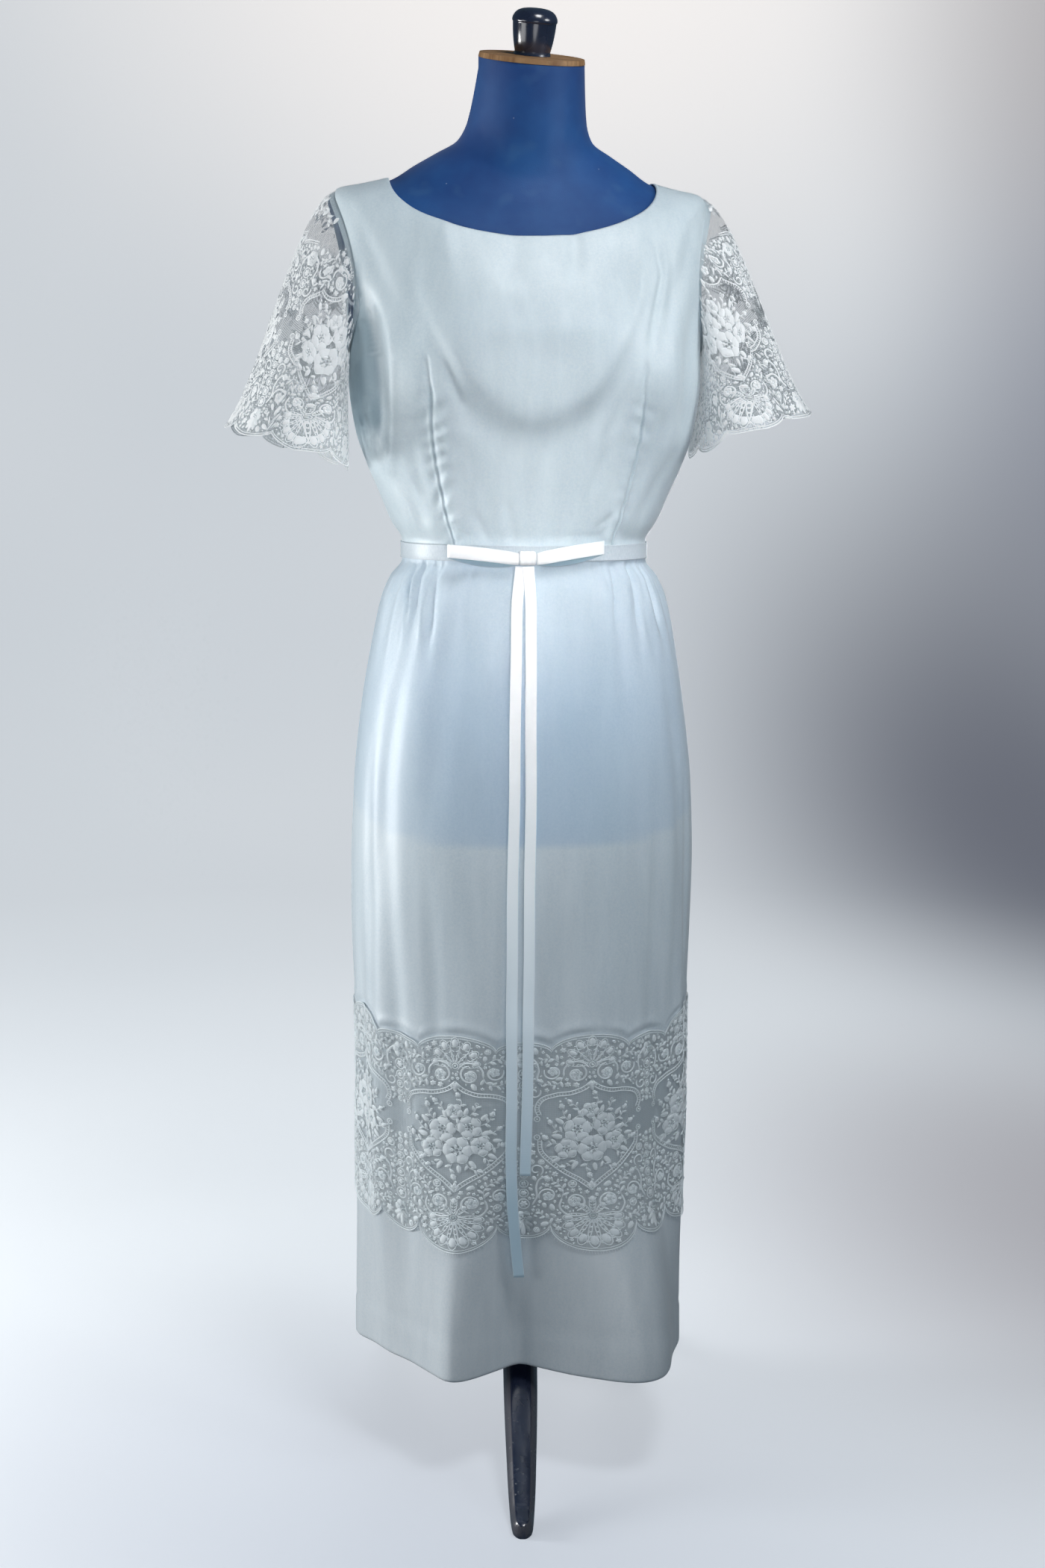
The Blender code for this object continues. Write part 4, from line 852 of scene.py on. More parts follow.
# Skirt creases: angle, how far it leans on its way down, half angle, depth, top and bottom
SKIRT_CREASES = [
    (-65.0, 13.0, 1.7, -0.0049, -0.003, -0.085), (-56.0, 5.0, 1.5, -0.0052, -0.002, -0.085),
    (-47.0, 6.0, 1.7, -0.0049, -0.002, -0.105), (-60.0, 9.0, 2.2, 0.0022, -0.004, -0.090),
    (-51.0, 5.0, 2.0, 0.0022, -0.004, -0.095), (39.0, -8.0, 1.7, -0.0046, -0.002, -0.085),
    (49.0, -6.0, 1.8, -0.0052, -0.002, -0.095), (61.0, -2.0, 1.7, -0.0049, -0.003, -0.090),
    (44.0, -7.0, 2.2, 0.0022, -0.004, -0.090), (55.0, -4.0, 2.2, 0.0022, -0.004, -0.090),
    (120.0, 8.0, 1.7, -0.0046, -0.003, -0.090), (132.0, 6.0, 1.8, -0.0049, -0.003, -0.095),
    (145.0, 3.0, 1.7, -0.0043, -0.003, -0.085), (126.0, 7.0, 2.2, 0.0020, -0.004, -0.090),
    (-118.0, -8.0, 1.7, -0.0046, -0.003, -0.090), (-131.0, -6.0, 1.8, -0.0049, -0.003, -0.095),
    (-146.0, -3.0, 1.7, -0.0043, -0.003, -0.085), (-125.0, -7.0, 2.2, 0.0020, -0.004, -0.090),
    (-30.0, -6.0, 5.0, -0.0018, -0.03, -0.30), (-14.0, 3.0, 4.0, -0.0012, -0.02, -0.22),
    (12.0, 4.0, 4.5, -0.0014, -0.02, -0.25), (30.0, 8.0, 5.0, -0.0019, -0.03, -0.34),
    (-52.0, -8.0, 5.0, -0.0026, -0.06, -0.42), (56.0, 6.0, 5.0, -0.0026, -0.06, -0.44),
    (-61.0, 6.0, 3.6, 0.0013, -0.16, -0.66), (-67.0, 5.0, 3.2, -0.0014, -0.16, -0.66),
    (-54.0, 6.0, 3.0, -0.0012, -0.20, -0.66), (-47.0, 4.0, 3.4, 0.0009, -0.24, -0.66),
    (44.0, -4.0, 3.0, -0.0022, -0.22, -0.66), (52.0, -3.0, 2.8, 0.0018, -0.22, -0.66),
    (66.0, -2.0, 2.6, -0.0022, -0.18, -0.64), (-22.0, 6.0, 6.0, 0.0018, -0.34, -0.62),
    (24.0, -6.0, 6.0, 0.0018, -0.36, -0.66), (7.0, 4.0, 4.0, -0.0012, -0.30, -0.66),
    (-36.0, 4.0, 3.4, -0.0016, -0.28, -0.70), (150.0, -8.0, 6.0, -0.0022, -0.04, -0.40),
    (-146.0, 8.0, 6.0, -0.0022, -0.04, -0.42), (170.0, -4.0, 5.0, -0.0014, -0.03, -0.26),
    (-172.0, 4.0, 5.0, -0.0014, -0.03, -0.28), (118.0, 6.0, 5.0, -0.0020, -0.05, -0.36),
    (-118.0, -6.0, 5.0, -0.0020, -0.05, -0.36), (126.0, 5.0, 2.8, 0.0020, -0.20, -0.66),
    (136.0, 5.0, 2.8, -0.0022, -0.20, -0.66), (-127.0, -5.0, 2.8, 0.0020, -0.20, -0.66),
    (-137.0, -5.0, 2.8, -0.0022, -0.20, -0.66), (158.0, -4.0, 4.0, 0.0016, -0.26, -0.66),
    (-160.0, 4.0, 4.0, 0.0016, -0.26, -0.66),
]


def form_shows(angles, stations):
    """How strongly the blue form shows through, by the gap behind the cloth. Its lower corners are round."""
    corner = 0.030 * np.abs(np.sin(np.radians(angles))) ** 6
    inside = step((stations - TORSO_BOTTOM - corner + 0.002) / 0.007)
    low = 0.35 + 0.65 * step((-0.02 - stations) / 0.16)
    return inside * np.exp(-np.maximum(form_gap(angles, stations) - 0.006, 0.0) / 0.016) * low


def make_panels(paint, skirt_paint):
    pieces = {}

    def panel(node, points, uv, cloth, tints=None):
        name = "gown_" + node
        pieces[node] = cloth_grid(name, points, uv, cloth, node, SATIN_WALL, tints=tints)

    points, uv, shade = front_bodice()
    panel("bodice_front", points, uv, paint, {"shade": shade})
    for side, name in SIDES.items():
        panel("bodice_back_" + name, *back_bodice(side), paint)
    near_gathers = [(a, 5.0, 1.0) for a in (-60.0, -45.0, 45.0, 60.0)]
    for name, first, last, columns, closer in (
        ("skirt_front", -90.0, 90.0, 200, near_gathers),
        ("skirt_back_right", 90.0, 180.0, 96, [(130.0, 16.0, 0.6)]),
        ("skirt_back_left", -180.0, -90.0, 96, [(-130.0, 16.0, 0.6)]),
    ):
        points, uv, shows = skirt(first, last, columns, closer)
        panel(name, points, uv, skirt_paint, {"form_shows": shows})
    return pieces


# The form and its stand
NECK_TOP, NECK_SLOPE_SIDE, NECK_SLOPE_BACK = 0.489, -0.049, 0.238
NECK_MIDDLE = (0.0030, -0.0150)
CAP_THICK, TOUCH = 0.0048, 0.0003
SLOPE = Vector((-NECK_SLOPE_SIDE, -NECK_SLOPE_BACK, 1.0)).normalized()


def neck_plane(x, y):
    return WAIST + NECK_TOP + NECK_SLOPE_SIDE * (x - NECK_MIDDLE[0]) + NECK_SLOPE_BACK * (y - NECK_MIDDLE[1])


def make_torso(paint):
    columns = 120
    closer = [(TORSO_BOTTOM, 0.02, 2.0), (0.45, 0.06, 1.5)]
    heights = spaced(110, TORSO_BOTTOM, RING_HEIGHTS[-1], closer)
    angles, stations = cross(all_round(columns) - 180.0, heights)
    points = form_point(angles, stations)
    seam = points[..., 2] - WAIST - neck_seam_height(angles)
    groove = -0.0007 * bell(seam, 0.0011) - 0.0002 * (seam < 0)
    points = points + outward(angles, stations) * groove[..., None]
    base, top = points[0].copy(), points[-1].copy()
    base[:, :2] *= 0.955
    base[:, 2] = np.minimum(base[:, 2], WAIST + TORSO_BOTTOM)
    top[:, 2] = neck_plane(top[:, 0], top[:, 1])
    points = np.concatenate([base[None], points, top[None]])
    points[..., 2] = np.minimum(points[..., 2], neck_plane(points[..., 0], points[..., 1]))
    mesh = make_mesh("form_skin", placed(points), capped_faces(len(points), columns))
    return add_piece("form_skin", mesh, paint, "form_torso")


def neck_seam_height(angles):
    """The seam that joins the neck's cover to the shoulders', lowest at the front."""
    return 0.405 + 0.050 * np.sin(np.radians(angles) / 2) ** 2


def lathe(profile, steps):
    """A turned mesh about Z from pairs of radius and height, from the top down, pointed at both ends."""
    turns = np.arange(steps) * 2 * math.pi / steps
    inner = np.array(profile[1:-1])[::-1]
    ring = np.stack([np.cos(turns), np.sin(turns)], -1)
    points = np.concatenate([inner[:, None, :1] * ring[None], np.repeat(inner[:, None, 1:], steps, 1)], -1)
    faces = grid_faces(len(inner), steps, closed=True).tolist()
    count = len(inner) * steps
    flat = points.reshape(-1, 3).tolist() + [(0.0, 0.0, profile[-1][1]), (0.0, 0.0, profile[0][1])]
    for j in range(steps):
        after = (j + 1) % steps
        faces.append((after, j, count))
        faces.append((count - steps + j, count - steps + after, count + 1))
    return flat, faces


def fine_profile(profile, count):
    """The same profile with more points, as one smooth line."""
    at = lengths_along(np.array(profile))
    share = np.linspace(0, at[-1], count)
    return list(zip(curve(at, [r for r, _ in profile])(share), curve(at, [h for _, h in profile])(share)))


FINIAL_DOME = [
    (0.0, 0.0450), (0.0060, 0.0448), (0.0120, 0.0440), (0.0170, 0.0422), (0.0205, 0.0392), (0.0222, 0.0362),
]
FINIAL_RIM = [(0.0227, 0.0345), (0.0228, 0.0330), (0.0226, 0.0318), (0.0220, 0.0313)]
FINIAL_BODY = [
    (0.0219, 0.0305), (0.0214, 0.0240), (0.0203, 0.0150), (0.0188, 0.0070), (0.0180, 0.0030), (0.0186, 0.0),
]


def make_finial(paint, base):
    profile = fine_profile(FINIAL_DOME, 22) + FINIAL_RIM + fine_profile(FINIAL_BODY, 22) + [(0.0, 0.0)]
    points, faces = lathe(profile, 96)
    turn = SLOPE.to_track_quat("Z", "Y").to_matrix()
    shift = base + SLOPE * (CAP_THICK + 2 * TOUCH)
    mesh = make_mesh("form_knob", [turn @ Vector(p) + shift for p in points], faces)
    return add_piece("form_knob", mesh, paint, "form_finial")


LEG_PATH = [
    (0.0303, 0.105, 0.0190, 0.0200), (0.060, 0.101, 0.0185, 0.0165), (0.100, 0.086, 0.0180, 0.0145),
    (0.140, 0.066, 0.0170, 0.0130), (0.180, 0.045, 0.0155, 0.0120), (0.215, 0.026, 0.0140, 0.0110),
    (0.238, 0.0145, 0.0125, 0.0100), (0.246, 0.0100, 0.0118, 0.0100), (0.262, 0.0090, 0.0105, 0.0090),
    (0.269, 0.0080, 0.0080, 0.0080), (0.272, 0.0070, 0.0045, 0.0070),
]
LEG_TURNS = {"stand_leg_front": -6.0, "stand_leg_back_right": 138.0, "stand_leg_back_left": 210.0}
# Half a leg's cross-section from its foot up: its side bevel lies between the last two marked points
LEG_SECTION = [
    (0.60, -1.0), (0.80, -0.97), (0.92, -0.86), (0.985, -0.60), (1.0, -0.25), (0.995, 0.05),
    (0.93, 0.34), (0.80, 0.62), (0.66, 0.86), (0.60, 0.925), (0.52, 0.955), (0.35, 0.985), (0.0, 1.0),
]


# How much painted reflection each point of LEG_SECTION gets on the side bevels
LEG_BEVEL = [0, 0, 0, 0.6, 1, 1, 1, 1, 1, 0.2, 0, 0, 0]
TOE_START, TOE_REACH, TOE_HALF_WIDTH = 0.2615, 0.0112, 0.0108


def make_leg(name, turn, paint):
    reaches = np.concatenate([np.linspace(LEG_PATH[0][0], 0.256, 44), np.linspace(0.259, 0.272, 12)])
    along = [row[0] for row in LEG_PATH]
    centre, half_width, half_height = (curve(along, [row[k] for row in LEG_PATH])(reaches) for k in (1, 2, 3))
    toe = np.sqrt(np.clip(1 - ((reaches - TOE_START) / TOE_REACH).clip(0) ** 2, 0.0, 1.0))
    half_width = np.where(reaches > TOE_START, TOE_HALF_WIDTH * toe * 0.97, half_width)
    half = np.array(LEG_SECTION)
    outline = np.concatenate([half * [-1, 1], half[-2::-1]])
    bevels = LEG_BEVEL + LEG_BEVEL[-2::-1]
    angle = math.radians(turn)
    ahead = np.array([math.sin(angle), -math.cos(angle), 0.0])
    across, up = np.array([-ahead[1], ahead[0], 0.0]), np.array([0, 0, 1.0])
    middle = ahead * reaches[:, None] + up * centre[:, None]
    points = (middle[:, None, :] + across * (half_width[:, None] * outline[:, 0])[..., None]
              + up * (half_height[:, None] * outline[:, 1])[..., None])
    points[..., 2] = np.maximum(points[..., 2], 0.0)
    rows, columns = points.shape[:2]
    tints = {"bevel": np.tile(bevels, rows)}
    faces = capped_faces(rows, columns)
    mesh = make_mesh(name + "_bevelled", placed(points), faces, tints=tints, angle=42.0, weld=0.00002)
    return add_piece(name + "_bevelled", mesh, paint, name)


# The belt, its bow and tails
RIBBON, RIBBON_WALL, BELT_LIFT, BELT_HEIGHT = 0.0010, 0.0008, 0.0006, 0.016
RIBBON_WIDTH, LOOP_WIDTH, LOOP_LENGTH, LOOP_START = 0.0115, 0.0135, 0.0705, 0.0089
KNOT_SIZE, KNOT_Y = (0.0170, 0.0110, 0.0150), -0.1059
BELT_ACROSS = np.array([0.0, 0.05, 0.11, 0.2, 0.35, 0.5, 0.65, 0.8, 0.89, 0.95, 1.0])
RIBBON_ACROSS = np.array([0.0, 0.06, 0.14, 0.3, 0.5, 0.7, 0.86, 0.94, 1.0])


def ribbon_edges(shares, width, core=0.0007):
    """Where a ribbon's woven edge lies: 1 at its very edge and 0 inside, for shares 0 to 1 across it."""
    return step(1 - np.minimum(shares, 1 - shares) * width / core / 1.3)


def make_belt(paint):
    angles, shares = cross(all_round(420), BELT_ACROSS)
    turn = np.radians(angles)
    worn = 0.0004 * np.sin(3 * turn + 1) + 0.0005 * np.sin(7 * turn) * np.sin(2 * turn + 2)
    crown = 0.0002 * bell(np.minimum(shares, 1 - shares) - 0.06, 0.05) - 0.00025 * np.sin(math.pi * shares)
    points = gown_point(angles, 0.0, BELT_LIFT + RIBBON)
    points = points + outward(angles, np.zeros_like(shares)) * crown[..., None]
    points[..., 2] += (shares - 0.5) * BELT_HEIGHT + worn * np.sin(math.pi * shares)
    uv = np.stack([angles / 360 * BELT_ROUND, shares * BELT_HEIGHT], -1)
    edge = ribbon_edges(shares, BELT_HEIGHT)
    return cloth_grid("gown_belt", points, uv, paint, "belt", RIBBON_WALL, closed=True,
                      tints={"edge": edge})


def bow_loop_path(tip_rise, steps):
    """The ribbon's way round one loop, seen from above, as distances out, back and up from the knot."""
    front, knot_bend, tip_bend = -0.1080, 0.0017, 0.0026
    shape = [(knot_bend * (1 - math.cos(a)), -knot_bend * math.sin(a)) for a in (0.0, 0.4, 0.8, 1.15)]
    half_depth = curve([0.0, 0.45, 0.8, 1.0], [knot_bend, 0.0032, 0.0033, tip_bend])
    for along in np.linspace(0.05, 0.96, steps):
        shape.append((LOOP_LENGTH * along, -float(half_depth(along))))
    for a in (0.35, 0.75, 1.15):
        shape.append((LOOP_LENGTH - tip_bend * (1 - math.sin(a)) * 1.1, -tip_bend * math.cos(a)))
    shape.append((LOOP_LENGTH, -tip_bend * 0.1))
    returning = [(out, -back) for out, back in reversed(shape[1:])]
    path = []
    for out, back in shape + returning:
        along = out / LOOP_LENGTH
        path.append((LOOP_START + out, front + 0.0140 * along**1.6 + back, tip_rise * along - 0.0018))
    return np.array(path)


def make_loop(side, paint):
    path = bow_loop_path(0.0110 if side > 0 else 0.0075, 26)
    first_half = np.arange(len(path)) < len(path) / 2
    across, x, y, rise, length, front = np.broadcast_arrays(
        RIBBON_ACROSS[:, None], *path.T, lengths_along(path[:, :2]), first_half)
    along = np.clip((x - LOOP_START) / LOOP_LENGTH, 0, 1)
    facing, belly = np.where(front, 1, -1), np.sin(math.pi * along)
    pinch = 1 - 0.16 * np.exp(-along / 0.07)
    crease = 0.0006 * np.exp(-along / 0.20) * np.cos(across * math.pi * 4) * facing
    bow_out = -0.0007 * np.sin(math.pi * across) * belly * facing
    twist = 0.0010 * (across - 0.5) * belly * side
    tilt = 0.0034 * (across - 0.5) * belly * front
    drop = np.where(front, 0.0008, -0.0052) * belly**0.8
    points = np.stack([
        KNOT_X + side * x,
        y + crease + bow_out + twist + tilt,
        KNOT_HEIGHT + rise + (across - 0.5) * LOOP_WIDTH * pinch + drop,
    ], -1)
    uv = np.stack([length, across * LOOP_WIDTH], -1)
    # inside is 1 on the loop's back layer, whose inner face gets painted shade.
    edge, inside = ribbon_edges(across, LOOP_WIDTH), np.where(front, 0.0, 1.0)
    if side < 0:
        points, uv, edge, inside = points[:, ::-1], uv[:, ::-1], edge[:, ::-1], inside[:, ::-1]
    node = "bow_loop_" + SIDES[side]
    return cloth_grid("gown_" + node, points, uv, paint, node, RIBBON_WALL, closed=True,
                      tints={"edge": edge, "inside": inside})


def tail_depth(height):
    """How far forward the skirt reaches behind the tails, so that they hang clear of it."""
    spots = [gown_point(angle, np.minimum(height + offset, -0.001))[..., 1]
             for angle in (-13, -8, -4, 0) for offset in (-0.02, 0, 0.02)]
    return np.min(spots, axis=0)


def make_tail(name, path, above, paint):
    """A tail along a path of (height, x). above is how far it lies over the other one at the knot."""
    middle = curve([-height for height, _ in path], [x for _, x in path])
    across, heights = cross(RIBBON_ACROSS, np.linspace(path[-1][0], path[0][0], 220))
    tilt = np.arctan2(middle(-heights + 0.004) - middle(-heights - 0.004), 0.008)
    clear = 0.0020 + 0.0030 * step((-0.44 - heights) / 0.05) + above * step((heights + 0.085) / 0.04)
    half = (across - 0.5) * RIBBON_WIDTH
    sway = 0.0005 * np.sin(heights / 0.031) * np.sin(heights / 0.11 + 1) * step((-0.05 - heights) / 0.1)
    cup = -0.0004 * np.sin(math.pi * across) * np.sin(heights / 0.06 + above * 900)
    slant = -0.0008 * (across - 0.5) * (heights < path[-1][0] + 0.004)
    grid = np.stack([middle(-heights) + half * np.cos(tilt) + sway, tail_depth(heights) - clear + cup,
                     WAIST + heights + half * np.sin(tilt) + slant], -1)
    uv = np.stack([-heights, across * RIBBON_WIDTH], -1)
    return cloth_grid("gown_" + name, grid, uv, paint, name, RIBBON_WALL,
                      tints={"edge": ribbon_edges(across, RIBBON_WIDTH)})


def make_knot(paint):
    """The band of ribbon wrapped round the bow's middle, pulled in and creased."""
    rows, columns = 30, 96
    turn, share = cross(np.arange(columns) * 2 * math.pi / columns, np.linspace(-1, 1, rows))
    square = (np.abs(np.cos(turn)) ** 3.2 + np.abs(np.sin(turn)) ** 3.2) ** (-1 / 3.2)
    ends = (1 - np.abs(share) ** 5) ** 0.5
    ridges = 1 + 0.020 * np.cos(share * math.pi * 2.6 + 0.3 * np.sin(turn * 2)) * ends
    waist = 0.94 + 0.06 * share**2
    radius = square * (0.72 + 0.28 * ends) * ridges
    points = np.stack([
        share * KNOT_SIZE[0] / 2 * (0.97 + 0.03 * np.cos(turn) ** 2),
        -radius * np.cos(turn) * KNOT_SIZE[1] / 2 * waist,
        radius * np.sin(turn) * KNOT_SIZE[2] / 2 * waist,
    ], -1)
    grid = np.swapaxes(points, 0, 1) + [KNOT_X, KNOT_Y, KNOT_HEIGHT - 0.001]
    quads = grid_faces(columns, rows).tolist()
    last = (columns - 1) * rows
    quads += [(last + i, last + i + 1, i + 1, i) for i in range(rows - 1)]
    caps = [[j * rows for j in range(columns)], [j * rows + rows - 1 for j in reversed(range(columns))]]
    uv = np.stack([turn.T * 0.007, share.T * 0.0085], -1)
    tints = {"edge": np.abs(share.T) > 0.93}
    mesh = make_mesh("gown_bow_knot", placed(grid), quads + caps, uv, tints, weld=0.0)
    return add_piece("gown_bow_knot", mesh, paint, "bow_knot")


# The sleeves and the lace band
SLEEVE_INSET, SLEEVE_EDGE, SCALLOP_DROP, SLEEVE_SCALLOPS = 0.0040, 0.0012, 0.010, 8


def armhole_point(side, turn, inset):
    """A point just inside an armhole: 0 is the shoulder tip, 90 the front and 180 under the arm."""
    around, up = np.sin(np.radians(turn)), np.cos(np.radians(turn))
    opening = np.where(around > 0, ARMHOLE_FRONT, ARMHOLE_BACK) - math.degrees(inset / 0.12)
    return gown_point(side * (90.0 - opening * around), ARMHOLE_MIDDLE + (ARMHOLE_HALF - inset) * up)


def sleeve_point(side, turn, share, inset=SLEEVE_INSET):
    """Points of a sleeve. share is 0 at the armhole and 1 at the scalloped hem."""
    turn, share = np.broadcast_arrays(np.asarray(turn, float), np.asarray(share, float))
    middle_x, middle_y, height, half_width, half_depth, outer_lift, inner_drop = SLEEVE_HEMS[side]
    around, up = np.sin(np.radians(turn)), np.cos(np.radians(turn))
    start = armhole_point(side, turn, inset)
    squared = 1 + 0.06 * np.sin(2 * np.radians(turn)) ** 2
    over, under = np.maximum(up, 0.0), np.maximum(-up, 0.0)
    outward_x = half_width * (over * squared - under**0.6) - 0.005 * around
    end = np.stack([side * (middle_x + outward_x), middle_y - half_depth * around * squared,
                    WAIST + height + outer_lift * over - inner_drop * under], -1)
    leave = np.stack([side * (0.040 + 0.080 * over - 0.024 * under), -0.030 * around,
                      -0.100 - 0.06 * under + 0.065 * over], -1)
    arrive = np.stack([side * (0.055 + 0.055 * up), -0.075 * around, -0.150 + 0.020 * over], -1)
    scallop = np.abs(np.cos(np.radians(turn) * SLEEVE_SCALLOPS / 2))
    end = end + unit(arrive) * (SCALLOP_DROP * (np.sqrt(scallop) - 0.5))[..., None]
    t = share[..., None]
    return (start * (1 + 2 * t) * (1 - t) ** 2 + leave * t * (1 - t) ** 2
            + end * t * t * (3 - 2 * t) + arrive * t * t * (t - 1))


def band_lobe(angle):
    place = ((angle - LOBE_ANGLE) / 360.0 * REPEATS) % 1.0
    main = (place < 0.3) | (place > 0.7)
    across = np.where(main, (place - np.round(place)) / 0.3, (place - 0.5) / 0.2)
    return np.where(main, 1.0, 0.6) * (1 - np.minimum(across * across, 1.0)) ** 0.6


def band_rise(angle):
    return BAND_SIDE_RISE * step((np.abs(np.sin(np.radians(angle))) - 0.7) / 0.3)


# Lace work, drawn flat for one repeat in millimetres: x across it, y up it, and h above the net
REPEAT, BAND_HEIGHT = 125.0, 1000 * (BAND_TOP - BAND_BOTTOM)
FIELD_LOW, FIELD_HALF, FIELD_HEIGHT, CELL = -30.0, 70.0, 250.0, 0.5
FLOW_GAP = 1.9
HALF = REPEAT / 2
# Above the first row on a sleeve, the motifs from UPPER_FROM up come again, UPPER_SHIFT higher
UPPER_FROM, UPPER_SHIFT = 52.0, 160.0
# On a sleeve the lace stands SLEEVE_DROP further in, and is pulled out to the hem within PULL_REACH of it
SLEEVE_TURN, SLEEVE_DROP, PULL_START, PULL_REACH = 90.0, 12.5, 5.0, 55.0
TABLE_TURN, TABLE_STEP = 1.5, 2.0


def across_repeat(x):
    return (x + HALF) % REPEAT - HALF


def repeat_x(angle):
    """How far across its repeat the lace lies, at an angle from the middle of a lobe."""
    return across_repeat(angle * REPEAT / REPEAT_TURN)


def spot(x, y, angle, along, aside=0.0):
    """The place that lies along a heading in degrees from (x, y), and to its left."""
    c, s = math.cos(math.radians(angle)), math.sin(math.radians(angle))
    return x + along * c - aside * s, y + along * s + aside * c


def shifted(faces, by):
    return [tuple(i + by for i in face) for face in faces]


def domed_faces(sides):
    """The faces of two rings of points and one more in the middle, which comes last."""
    pairs = [(j, (j + 1) % sides) for j in range(sides)]
    return ([(b, a, sides + a, sides + b) for a, b in pairs]
            + [(sides + b, sides + a, 2 * sides) for a, b in pairs])


def flowing(points):
    """A smooth line through the points."""
    p = np.array(points, float)
    p = np.vstack([2 * p[0] - p[1], p, 2 * p[-1] - p[-2]])
    line = []
    for a, b, c, d in zip(p, p[1:], p[2:], p[3:]):
        count = max(1, round(np.hypot(*(c - b)) / FLOW_GAP))
        t = np.arange(count)[:, None] / count
        bend = 2 * a - 5 * b + 4 * c - d
        line.append(b + 0.5 * ((c - a) * t + bend * t**2 + (3 * b - 3 * c + d - a) * t**3))
    return np.vstack([*line, p[-2][None]])


def circle(x, y, radius, start=0.0, sweep=360.0, gap=1.5):
    count = max(7, round(radius * math.radians(abs(sweep)) / gap))
    turn = np.radians(start + sweep * np.arange(count) / (count if abs(sweep) >= 360 else count - 1))
    return np.stack([x + radius * np.cos(turn), y + radius * np.sin(turn)], -1)


def sideways(line, closed=False):
    """The unit directions to the left of a line."""
    ahead = np.roll(line, -1, 0) - np.roll(line, 1, 0)
    if not closed:
        ahead[0], ahead[-1] = line[1] - line[0], line[-1] - line[-2]
    return unit(np.stack([-ahead[:, 1], ahead[:, 0]], -1))


